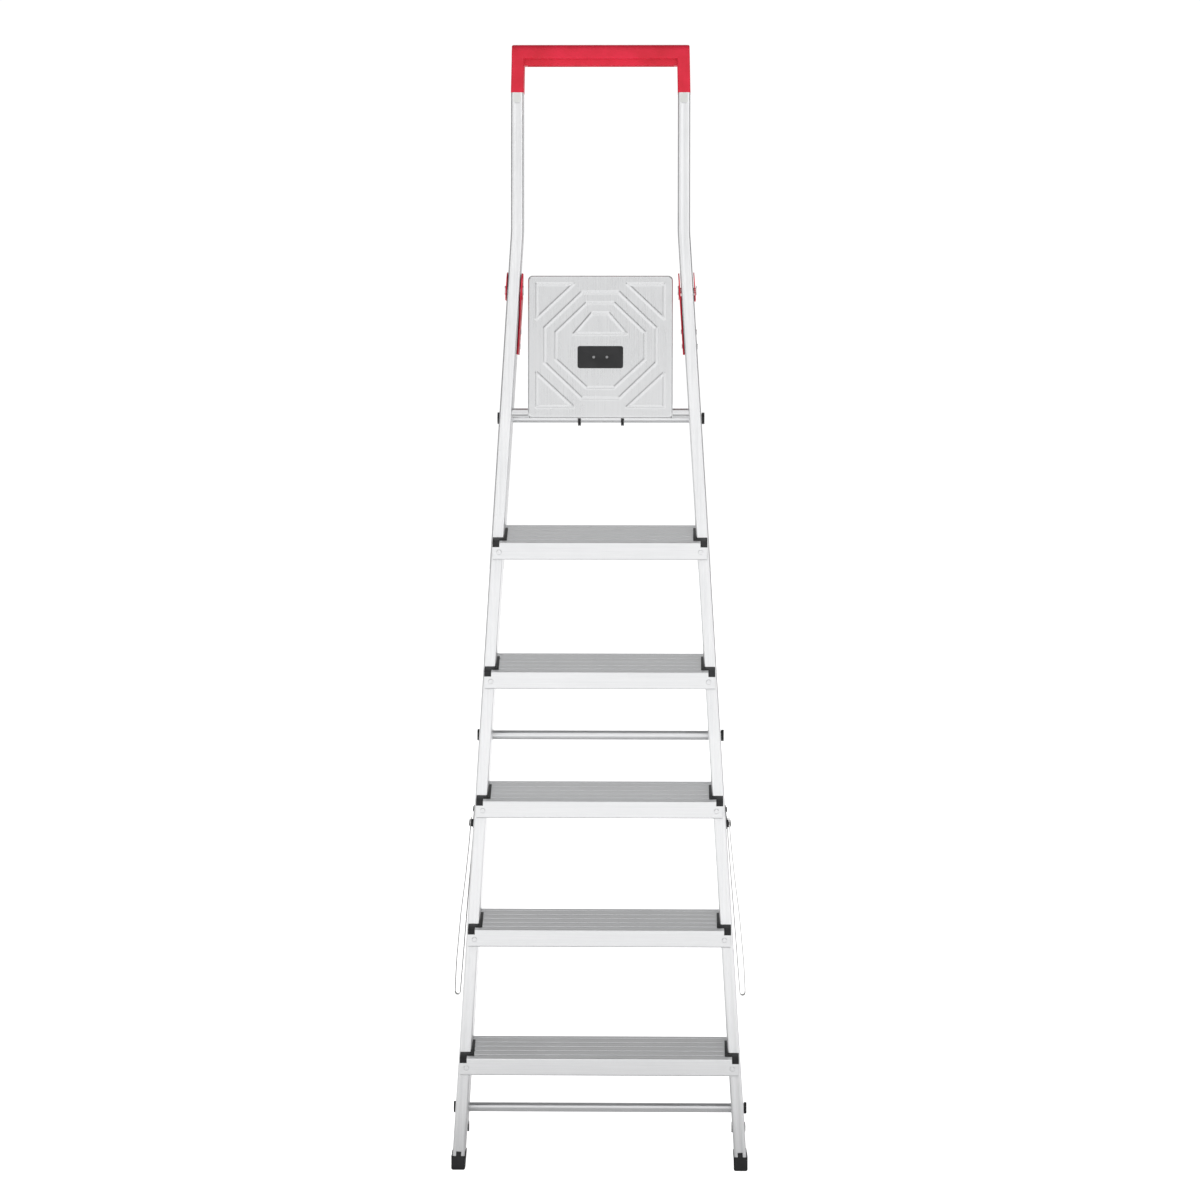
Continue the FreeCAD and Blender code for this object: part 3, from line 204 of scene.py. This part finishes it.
RED = plastic(
    "red_plastic", (0.58, 0.006, 0.026), (0.69, 0.010, 0.042), 0.45, 1100.0, specular=0.34)
PALE = plastic("pale_plastic", (0.62, 0.63, 0.61), (0.74, 0.75, 0.73), 0.45)
WEBBING = webbing_material()
MATERIAL_OF = {
    "rail_aluminium": RAIL_METAL, "tread_aluminium": TREAD_METAL, "platform_aluminium": PLATE_METAL,
    "tube_aluminium": TUBE_METAL, "steel": STEEL, "black_plastic": BLACK, "red_plastic": RED,
    "pale_plastic": PALE, "webbing": WEBBING,
}

OWN_METAL = {"platform_rivets": RIVET_STEEL, "tread_rivets": TREAD_METAL}
for node, obj in NODES.items():
    for entry in obj.material_slots:
        entry.material = OWN_METAL.get(node, MATERIAL_OF[SLOT_OF[node]])


# ---------------------------------------------------------------- mesh pieces

BEVEL_SEGMENTS = 3
BEVEL_ANGLE = math.radians(35.0)
FLAT_ANGLE = math.radians(1.5)
WELD = 0.00002


def finish_piece(obj, slot, body=None, nodes=(), smooth=40.0):
    obj.data.materials.clear()
    obj.data.materials.append(MATERIAL_OF[slot])
    obj.data.shade_smooth()
    obj.data.set_sharp_from_angle(angle=math.radians(smooth))
    if body is not None:
        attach(obj, body)
    if nodes:
        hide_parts(*nodes)
    return obj


def object_from(bm, mesh_name, name):
    """A new object in the scene with the shape in bm."""
    mesh = bpy.data.meshes.new(mesh_name)
    bm.to_mesh(mesh)
    bm.free()
    obj = bpy.data.objects.new(name, mesh)
    bpy.context.scene.collection.objects.link(obj)
    return obj


def apply_modifiers(obj):
    bpy.context.view_layer.update()
    evaluated = obj.evaluated_get(bpy.context.evaluated_depsgraph_get())
    mesh = bpy.data.meshes.new_from_object(evaluated)
    obj.modifiers.clear()
    old = obj.data
    obj.data = mesh
    bpy.data.meshes.remove(old)


def bevelled(node, width):
    """The node's shape with its corners rounded off."""
    bm = bmesh.new()
    bm.from_mesh(NODES[node].data)
    bmesh.ops.remove_doubles(bm, verts=bm.verts, dist=WELD)
    bmesh.ops.dissolve_limit(bm, angle_limit=FLAT_ANGLE, verts=bm.verts, edges=bm.edges)
    obj = object_from(bm, node + "_moulded", node + "_soft")
    bevel = obj.modifiers.new("round", "BEVEL")
    bevel.width = width
    bevel.segments = BEVEL_SEGMENTS
    bevel.limit_method = "ANGLE"
    bevel.angle_limit = BEVEL_ANGLE
    bevel.use_clamp_overlap = True
    bevel.harden_normals = False
    apply_modifiers(obj)
    return obj


def reshape(obj, levels, shape):
    """Cuts the object along the planes at the heights in levels, then moves each of its points by shape."""
    bm = bmesh.new()
    bm.from_mesh(obj.data)
    up = Vector((0, 0, 1))
    for level in levels:
        everything = bm.verts[:] + bm.edges[:] + bm.faces[:]
        bmesh.ops.bisect_plane(bm, geom=everything, dist=0.00001, plane_co=up * level, plane_no=up)
    for vertex in bm.verts:
        vertex.co = shape(vertex.co)
    bm.to_mesh(obj.data)
    bm.free()


def softened(node, width, levels=(), shape=None):
    """A piece with rounded corners that stands for the node."""
    obj = bevelled(node, width)
    if shape is not None:
        reshape(obj, levels, shape)
    return finish_piece(obj, SLOT_OF[node], BODY_OF[node], [node])


for number in range(1, 6):
    for side in SIDES:
        softened("tread_%d_%s_cap" % (number, side), 0.0014)
for side in SIDES:
    softened(side + "_front_foot", 0.0018)
    softened(side + "_rear_foot", 0.0016)
    softened(side + "_hinge_bracket", 0.0012)


GRIP_LOW, GRIP_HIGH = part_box("handle_grip")
GRIP_ROUND = 0.012
GRIP_TALL = 0.08
GRIP_TAPER = 0.012


def grip_shape(point):
    """The grip narrows a little towards its top, whose front and back edges are well rounded."""
    below = GRIP_HIGH.z - point.z
    rise = min(max((GRIP_TALL - below) / GRIP_TALL, 0.0), 1.0)
    t = min(max(1 - below / GRIP_ROUND, 0.0), 1.0)
    middle = (GRIP_LOW.y + GRIP_HIGH.y) / 2
    share = GRIP_ROUND / (GRIP_HIGH.y - middle) * (1 - math.sqrt(1 - t * t))
    return Vector((point.x * (1 - GRIP_TAPER * rise), middle + (point.y - middle) * (1 - share), point.z))


GRIP_STEPS = (0.15, 0.4, 0.8, 1.4, 2.2, 3.2, 4.4, 5.8, 7.4, 9.2, 12.0)
softened("handle_grip", 0.0014, [GRIP_HIGH.z - MM * step for step in GRIP_STEPS], grip_shape)
softened("platform_insert", 0.0007)
softened("platform_latch", 0.0008)
softened("crossbar_catch", 0.0008)


CLIP_LOW, CLIP_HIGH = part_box("handle_locking_clips")
CLIP_WIDE = 0.013
TONGUE = Vector((0.0092, 0.0008, 0.0026))


def clip_tongue(name, side):
    """The clip's tongue, which fills the rail's slot just below it."""
    across = side * (CLIP_HIGH.x - CLIP_WIDE / 2)
    middle = Vector((across, CLIP_HIGH.y + TONGUE.y / 2, CLIP_LOW.z - TONGUE.z / 2))
    bm = bmesh.new()
    bmesh.ops.create_cube(bm, size=1.0)
    for v in bm.verts:
        v.co = middle + v.co * TONGUE
    return finish_piece(object_from(bm, name + "_tongue", name + "_clip_tongue"), "steel", "front_frame")


for name, side in SIDES.items():
    clip_tongue(name, side)


# ---------------------------------------------------------------- platform tray

AXLE_LOW, AXLE_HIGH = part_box("platform_axle")
AXLE_Y, AXLE_Z = (AXLE_LOW.y + AXLE_HIGH.y) / 2, (AXLE_LOW.z + AXLE_HIGH.z) / 2
INSERT_LOW, INSERT_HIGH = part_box("platform_insert")
BELOW_AXLE = 0.0101
TRAY_HALF, TRAY_TALL = 0.1285, 0.2527
TRAY_MIDDLE = AXLE_Z - BELOW_AXLE + TRAY_TALL / 2
TRAY_FACE = INSERT_LOW.y + 0.0012
CORNER, ROLL, SHEET, RIM = 0.008, 0.0035, 0.0015, 0.012
CORNER_X, CORNER_Z = TRAY_HALF - CORNER, TRAY_TALL / 2 - CORNER
WINDOW_LAP = 0.002
GRID = 0.0011
RIDGE_HALF, RIDGE_TALL, RIDGE_FLAT = 0.0034, 0.0013, 1.25
RIDGES = [
    [(-99, 34), (-33, 97), (33, 97), (99, 34), (99, -28), (33, -91), (-33, -91), (-99, -28)],
    [(-79, 26), (-24.5, 78), (24.5, 78), (79, 26), (79, -22), (24.5, -72), (-24.5, -72), (-79, -22)],
    [(-46.5, 23.5), (-15, 60), (15, 60), (46.5, 23.5)],
    [(-113, 111.5), (-48, 111.5), (-113, 50.5)],
    [(113, 111.5), (48, 111.5), (113, 50.5)],
    [(-113, -106), (-48, -106), (-113, -46)],
    [(113, -106), (48, -106), (113, -46)],
]


def ridge_heights(px, pz):
    """How far the points are pressed forward: a rounded ridge runs along each outline in RIDGES, in mm."""
    ridge = np.zeros(len(px))
    for shape in RIDGES:
        points = np.array(shape) * MM
        for a, b in zip(points, np.roll(points, -1, axis=0)):
            d = b - a
            t = np.clip(((px - a[0]) * d[0] + (pz - a[1]) * d[1]) / (d @ d), 0, 1)
            gap = np.hypot(px - a[0] - t * d[0], pz - a[1] - t * d[1])
            bump = 0.5 * (1 + np.cos(np.pi * np.clip(gap / RIDGE_HALF, 0, 1)))
            ridge = np.maximum(ridge, np.minimum(bump * RIDGE_FLAT, 1.0) * RIDGE_TALL)
    return ridge


def rounded_sheet(px, pz):
    """Moves points outside the corner arcs onto them, and tells how far the rolled edge sets each back."""
    out_x, out_z = np.abs(px) - CORNER_X, np.abs(pz) - CORNER_Z
    reach = np.hypot(out_x, out_z)
    outside = (out_x > 0) & (out_z > 0) & (reach > CORNER)
    scale = np.where(outside, CORNER / np.maximum(reach, 1e-9), 1.0)
    px = np.where(outside, np.sign(px) * (CORNER_X + out_x * scale), px)
    pz = np.where(outside, np.sign(pz) * (CORNER_Z + out_z * scale), pz)
    in_corner = (np.abs(px) > CORNER_X) & (np.abs(pz) > CORNER_Z)
    edge = np.where(in_corner, CORNER - np.hypot(np.abs(px) - CORNER_X, np.abs(pz) - CORNER_Z),
                    np.minimum(TRAY_HALF - np.abs(px), TRAY_TALL / 2 - np.abs(pz)))
    edge = np.clip(edge, 0, ROLL)
    return px, pz, ROLL - np.sqrt(np.maximum(ROLL ** 2 - (ROLL - edge) ** 2, 0))


def on_rim(point):
    """Whether a point of the sheet's boundary is on its outer edge, and not on the insert's window."""
    x, z = abs(point.x), abs(point.z - TRAY_MIDDLE)
    return (x > CORNER_X and z > CORNER_Z) or min(TRAY_HALF - x, TRAY_TALL / 2 - z) < 0.001


def sheet_grid():
    """The front sheet as a grid of faces with a window for the insert."""
    across, up = round(2 * TRAY_HALF / GRID), round(TRAY_TALL / GRID)
    px, pz = np.meshgrid(np.linspace(-TRAY_HALF, TRAY_HALF, across + 1),
                         np.linspace(-TRAY_TALL / 2, TRAY_TALL / 2, up + 1))
    px, pz = px.ravel(), pz.ravel()
    ridge = ridge_heights(px, pz)
    px, pz, back = rounded_sheet(px, pz)
    bm = bmesh.new()
    verts = [bm.verts.new((x, TRAY_FACE + d - r, TRAY_MIDDLE + z)) for x, z, d, r in zip(px, pz, back, ridge)]
    window_x = (INSERT_HIGH.x - INSERT_LOW.x) / 2 - WINDOW_LAP
    window_low = INSERT_LOW.z - TRAY_MIDDLE + WINDOW_LAP
    window_high = INSERT_HIGH.z - TRAY_MIDDLE - WINDOW_LAP
    stride = across + 1
    for j in range(up):
        for i in range(across):
            k = j * stride + i
            x, z = px[k] + GRID / 2, pz[k] + GRID / 2
            if abs(x) < window_x and window_low < z < window_high:
                continue
            bm.faces.new((verts[k], verts[k + 1], verts[k + stride + 1], verts[k + stride]))
    bmesh.ops.remove_doubles(bm, verts=bm.verts, dist=0.00005)
    bmesh.ops.dissolve_degenerate(bm, edges=bm.edges, dist=WELD)
    return bm


def platform_tray():
    """The pressed tray: a front sheet with rolled edges and raised ridges, and a rim running back from it."""
    bm = sheet_grid()
    rim_edges = [e for e in bm.edges if e.is_boundary and on_rim(e.verts[0].co)]
    grown = bmesh.ops.extrude_edge_only(bm, edges=rim_edges)
    for item in grown["geom"]:
        if isinstance(item, bmesh.types.BMVert):
            item.co.y = TRAY_FACE + RIM
    bmesh.ops.recalc_face_normals(bm, faces=bm.faces)
    obj = object_from(bm, "tray_sheet", "platform_tray")
    upper = TRAY_MIDDLE + 0.1
    front = max(obj.data.polygons, key=lambda p: -abs(p.center.x) - abs(p.center.z - upper))
    if front.normal.y > 0:
        obj.data.flip_normals()
    wall = obj.modifiers.new("sheet", "SOLIDIFY")
    wall.thickness = SHEET
    wall.offset = -1
    apply_modifiers(obj)
    return finish_piece(obj, "platform_aluminium", "platform", ["platform_plate"], 50.0)


platform_tray()

EAR_OUTER, EAR_BORE, EAR_FRONT, EAR_BOTTOM, EAR_TOP = 0.0115, 0.0085, 0.0085, 0.0100, 0.016
EAR_FACES = (TRAY_HALF - SHEET, TRAY_HALF)
EAR_POINTS = 48


def ear_outline(a):
    """The ear's outer point at angle a: round behind, and squared off towards the sheet in front."""
    y, z = AXLE_Y + EAR_OUTER * math.cos(a), EAR_OUTER * math.sin(a)
    if math.cos(a) < 0.05:
        y = AXLE_Y - EAR_FRONT
        z = min(z * 1.25, EAR_TOP)
    return y, AXLE_Z + max(z, -EAR_BOTTOM)


def axle_ear(name, side):
    """One of the rim's two ears, which carry the bushes."""
    bm = bmesh.new()
    rings = []
    for x in EAR_FACES:
        outer, inner = [], []
        for k in range(EAR_POINTS):
            a = 2 * math.pi * k / EAR_POINTS
            bore = (AXLE_Y + EAR_BORE * math.cos(a), AXLE_Z + EAR_BORE * math.sin(a))
            inner.append(bm.verts.new((side * x, *bore)))
            outer.append(bm.verts.new((side * x, *ear_outline(a))))
        rings.append((outer, inner))
    (ao, ai), (bo, bi) = rings
    for k in range(EAR_POINTS):
        n = (k + 1) % EAR_POINTS
        bm.faces.new((ao[k], ao[n], ai[n], ai[k]))
        bm.faces.new((bo[n], bo[k], bi[k], bi[n]))
        bm.faces.new((ao[n], ao[k], bo[k], bo[n]))
        bm.faces.new((ai[k], ai[n], bi[n], bi[k]))
    bmesh.ops.recalc_face_normals(bm, faces=bm.faces)
    finish_piece(object_from(bm, name + "_ear", name + "_platform_ear"), "platform_aluminium", "platform")


for name, side in SIDES.items():
    axle_ear(name, side)


# ---------------------------------------------------------------- spreader straps

def joint(name):
    return next(j for j in frame["record"]["behaviour"]["joints"] if j["name"] == name)


STRAP_HALF_WIDE, STRAP_HALF_THICK = 0.009, 0.00075
STRAP_STEPS, TURN_STEPS, SECTION_POINTS = 64, 18, 16
STRAP_PAST_END = 0.028
TURN_START = 0.975
TURN_DEEP = 1.15
BOW_AT = (-0.03, 0.1, 0.31, 0.53, 0.80, 0.93, 1.0)
BOW_OUT = (2.0, 2.1, 4.0, 7.6, 8.8, 8.0, 6.9)
REAR_OUT = -2.0


def bow(t):
    """How far out the front stretch bows, in mm, at a share t of its length."""
    return float(np.interp(t, BOW_AT, BOW_OUT))


def strap_route(front, low, rear, normal):
    """The webbing's centre and its wide direction, from the front anchor round the bend to the rear leg."""
    front_wide = normal.cross((low - front).normalized()).normalized()
    rear_wide = normal.cross((low - rear).normalized()).normalized()
    rows = []
    for k in range(STRAP_STEPS + 1):
        t = -STRAP_PAST_END + (TURN_START + STRAP_PAST_END) * k / STRAP_STEPS
        rows.append((front.lerp(low, t) + normal * bow(t) * MM, front_wide))
    radius = (bow(TURN_START) - REAR_OUT) / 2
    for k in range(1, TURN_STEPS):
        t = k / TURN_STEPS
        a = math.pi * t
        base = front.lerp(low, TURN_START).lerp(rear.lerp(low, TURN_START), t)
        out = REAR_OUT + radius + radius * math.cos(a)
        drop = Vector((0, 0, radius * math.sin(a) * MM * TURN_DEEP))
        rows.append((base + normal * out * MM - drop, front_wide.lerp(rear_wide, t)))
    for k in range(STRAP_STEPS + 1):
        t = TURN_START - (TURN_START + STRAP_PAST_END) * k / STRAP_STEPS
        rows.append((rear.lerp(low, t) + normal * REAR_OUT * MM, rear_wide))
    return rows


def webbing_section():
    """The webbing's flat section with rounded edges, as (across, through)."""
    section = []
    for k in range(SECTION_POINTS):
        a = 2 * math.pi * (k + 0.5) / SECTION_POINTS
        u, v = math.cos(a), math.sin(a)
        section.append((math.copysign(abs(u) ** 0.35, u) * STRAP_HALF_WIDE,
                        math.copysign(abs(v) ** 0.7, v) * STRAP_HALF_THICK))
    return section


def swept(rows, section):
    """The section swept along the rows, with UVs in metres along and across, and the rows' length."""
    centres = [row[0] for row in rows]
    bm = bmesh.new()
    layer = bm.loops.layers.uv.new("UVMap")
    rings, lengths = [], [0.0]
    for k, (centre, wide) in enumerate(rows):
        ahead = centres[min(k + 1, len(rows) - 1)] - centres[max(k - 1, 0)]
        face = wide.cross(ahead).normalized()
        rings.append([bm.verts.new(centre + wide * a + face * b) for a, b in section])
        if k:
            lengths.append(lengths[-1] + (centre - centres[k - 1]).length)
    for k in range(len(rows) - 1):
        for m in range(len(section)):
            n = (m + 1) % len(section)
            made = bm.faces.new((rings[k][m], rings[k][n], rings[k + 1][n], rings[k + 1][m]))
            uvs = ((lengths[k], section[m][0]), (lengths[k], section[n][0]),
                   (lengths[k + 1], section[n][0]), (lengths[k + 1], section[m][0]))
            for loop, uv in zip(made.loops, uvs):
                loop[layer].uv = uv
    for ring in (rings[0], rings[-1]):
        bm.faces.new(ring)
    bmesh.ops.recalc_face_normals(bm, faces=bm.faces)
    return bm, lengths[-1]


def strap(name, side):
    """One webbing strap: down from the front anchor, round a loose bend at the bottom, up to the rear leg."""
    front = Vector(joint(name + "_strap_front_swing")["pos_m"])
    low = Vector(joint(name + "_strap_rear_swing")["pos_m"])
    rivet_low, rivet_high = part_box(name + "_strap_rivet")
    rear = Vector((front.x, (rivet_low.y + rivet_high.y) / 2, front.z))
    normal = (rear - front).cross(low - front).normalized()
    if normal.x * side < 0:
        normal = -normal
    bm, length = swept(strap_route(front, low, rear, normal), webbing_section())
    obj = object_from(bm, name + "_strap", name + "_spreader_strap")
    finish_piece(obj, "webbing", smooth=45.0)
    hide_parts(name + "_strap_front", name + "_strap_rear")
    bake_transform(obj)
    print("strap", name, "length", round(length, 4))


for name, side in SIDES.items():
    strap(name, side)


# ---------------------------------------------------------------- floor, light and camera

ROOM_LEVEL = 1.0
ROOM_PANELS = (
    # direction, where it starts and is full (cosines), level
    ((1, 0.1, 0), 0.22, 0.62, 0.14),
    ((-1, 0.1, 0), 0.22, 0.62, 0.14),
    ((0, 1, 0), 0.55, 0.90, 0.32),
    ((0, 0.72, 0.70), 0.50, 0.90, 0.96),
    ((0, 0.10, 1), 0.70, 0.94, 0.20),
    ((0, -0.70, 0.71), 0.84, 0.97, 1.45),
    ((0.76, -0.65, 0), 0.90, 0.985, 1.35),
    ((-0.80, -0.60, 0), 0.90, 0.98, 0.48),
    ((0.60, -0.55, 0.58), 0.87, 0.96, 0.12),
)


def studio():
    """A white backdrop, and for reflections a room whose level changes with direction."""
    world = bpy.data.worlds.new("studio")
    bpy.context.scene.world = world
    world.use_nodes = True
    tree = world.node_tree
    tree.nodes.clear()

    def node(kind, **props):
        made = tree.nodes.new(kind)
        for key, value in props.items():
            setattr(made, key, value)
        return made

    direction = node("ShaderNodeTexCoord").outputs["Generated"]

    def towards(vector, low, high):
        dot = node("ShaderNodeVectorMath", operation="DOT_PRODUCT")
        tree.links.new(direction, dot.inputs[0])
        dot.inputs[1].default_value = Vector(vector).normalized()
        ramp = node("ShaderNodeMapRange", interpolation_type="SMOOTHSTEP")
        tree.links.new(dot.outputs["Value"], ramp.inputs["Value"])
        ramp.inputs["From Min"].default_value = low
        ramp.inputs["From Max"].default_value = high
        return ramp.outputs["Result"]

    level = None
    for vector, low, high, value in ROOM_PANELS:
        mix = node("ShaderNodeMix")
        mix.data_type = "FLOAT"
        tree.links.new(towards(vector, low, high), mix.inputs[0])
        if level is None:
            mix.inputs[2].default_value = ROOM_LEVEL
        else:
            tree.links.new(level, mix.inputs[2])
        mix.inputs[3].default_value = value
        level = mix.outputs[0]
    room = node("ShaderNodeBackground")
    room.inputs["Color"].default_value = (1, 1, 1, 1)
    tree.links.new(level, room.inputs["Strength"])
    backdrop = node("ShaderNodeBackground")
    backdrop.inputs["Color"].default_value = (1, 1, 1, 1)
    backdrop.inputs["Strength"].default_value = 1.05
    pick = node("ShaderNodeMixShader")
    path = node("ShaderNodeLightPath")
    tree.links.new(path.outputs["Is Camera Ray"], pick.inputs[0])
    tree.links.new(room.outputs[0], pick.inputs[1])
    tree.links.new(backdrop.outputs[0], pick.inputs[2])
    out = node("ShaderNodeOutputWorld")
    tree.links.new(pick.outputs[0], out.inputs[0])


def lamp(name, place, target, size, power):
    data = bpy.data.lights.new(name, "AREA")
    data.shape = "RECTANGLE"
    data.size, data.size_y = size
    data.energy = power
    obj = bpy.data.objects.new(name, data)
    bpy.context.scene.collection.objects.link(obj)
    obj.location = place
    obj.rotation_euler = (Vector(target) - Vector(place)).to_track_quat("-Z", "Y").to_euler()


FLOOR_RADIUS, FLOOR_POINTS = 40.0, 96
FLOOR_SEEN = 0.95


def floor():
    """A pale floor: white to the eye, and in reflections brighter away from the ladder: a painted shadow of
    the ladder, dimming the floor's glow near it.
    """
    bm = bmesh.new()
    ring = [bm.verts.new((FLOOR_RADIUS * math.cos(a), FLOOR_RADIUS * math.sin(a), 0))
            for a in np.linspace(0, 2 * math.pi, FLOOR_POINTS, endpoint=False)]
    bm.faces.new(ring)
    obj = object_from(bm, "floor", "studio_floor")
    g = Graph("pale_floor")
    g.set(colour=(0.70, 0.70, 0.70), specular=0.1)
    grain = g.noise(g.coords(), 60.0, 4.0)
    g.set(rough=g.span(grain, 0.3, 0.7, 0.55, 0.7))
    distance = g.node("ShaderNodeVectorMath", {0: g.coords()}, out="Value", operation="LENGTH")
    # painted shadow: the floor's glow seen in reflections is dimmer near the ladder, standing in for the
    # ladder's shadow on it
    painted_shadow_glow = g.span(distance, 0.3, 2.2, 0.18, 1.0)
    seen = g.node("ShaderNodeLightPath", out="Is Camera Ray")
    reflected = g.math("MULTIPLY", g.math("SUBTRACT", 1.0, seen), painted_shadow_glow)
    level = g.math("ADD", reflected, g.math("MULTIPLY", seen, FLOOR_SEEN))
    g.tree.links.new(level, g.shader.inputs["Emission Strength"])
    g.shader.inputs["Emission Color"].default_value = (1, 1, 1, 1)
    obj.data.materials.append(g.mat)
    obj.location.z = -0.0002


studio()
floor()
lamp("key_light", (2.8, -4.4, 3.2), (0, 0, 1.0), (2.2, 2.2), 16)
lamp("fill_light", (-3.2, -4.6, 1.6), (0, 0, 0.9), (2.4, 2.0), 8)
lamp("rim_light", (1.8, 3.6, 3.0), (0, 0, 1.2), (2.0, 1.6), 6)

SENSOR, FOCAL = 36.0, 118.09
AZIMUTH, PITCH, ROLL_ANGLE = math.radians(1.1), 0.03471, math.radians(0.07)
DISTANCE, EYE = 7.0, 1.26414
RAIL_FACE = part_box("left_front_rail")[0].y
camera_data = bpy.data.cameras.new("camera")
camera_data.sensor_width = SENSOR
camera_data.lens = FOCAL
camera_data.clip_start = 0.1
camera_data.clip_end = 200.0
camera = bpy.data.objects.new("camera", camera_data)
bpy.context.scene.collection.objects.link(camera)
camera.location = (DISTANCE * math.sin(AZIMUTH), RAIL_FACE - DISTANCE * math.cos(AZIMUTH), EYE)
turn = Matrix.Rotation(AZIMUTH, 3, "Z")
tilt = Matrix.Rotation(math.pi / 2 - PITCH, 3, "X")
roll = Matrix.Rotation(ROLL_ANGLE, 3, "Z")
camera.rotation_euler = (turn @ tilt @ roll).to_euler()
bpy.context.scene.camera = camera
bpy.context.scene.view_settings.view_transform = "Standard"

bpy.context.view_layer.update()
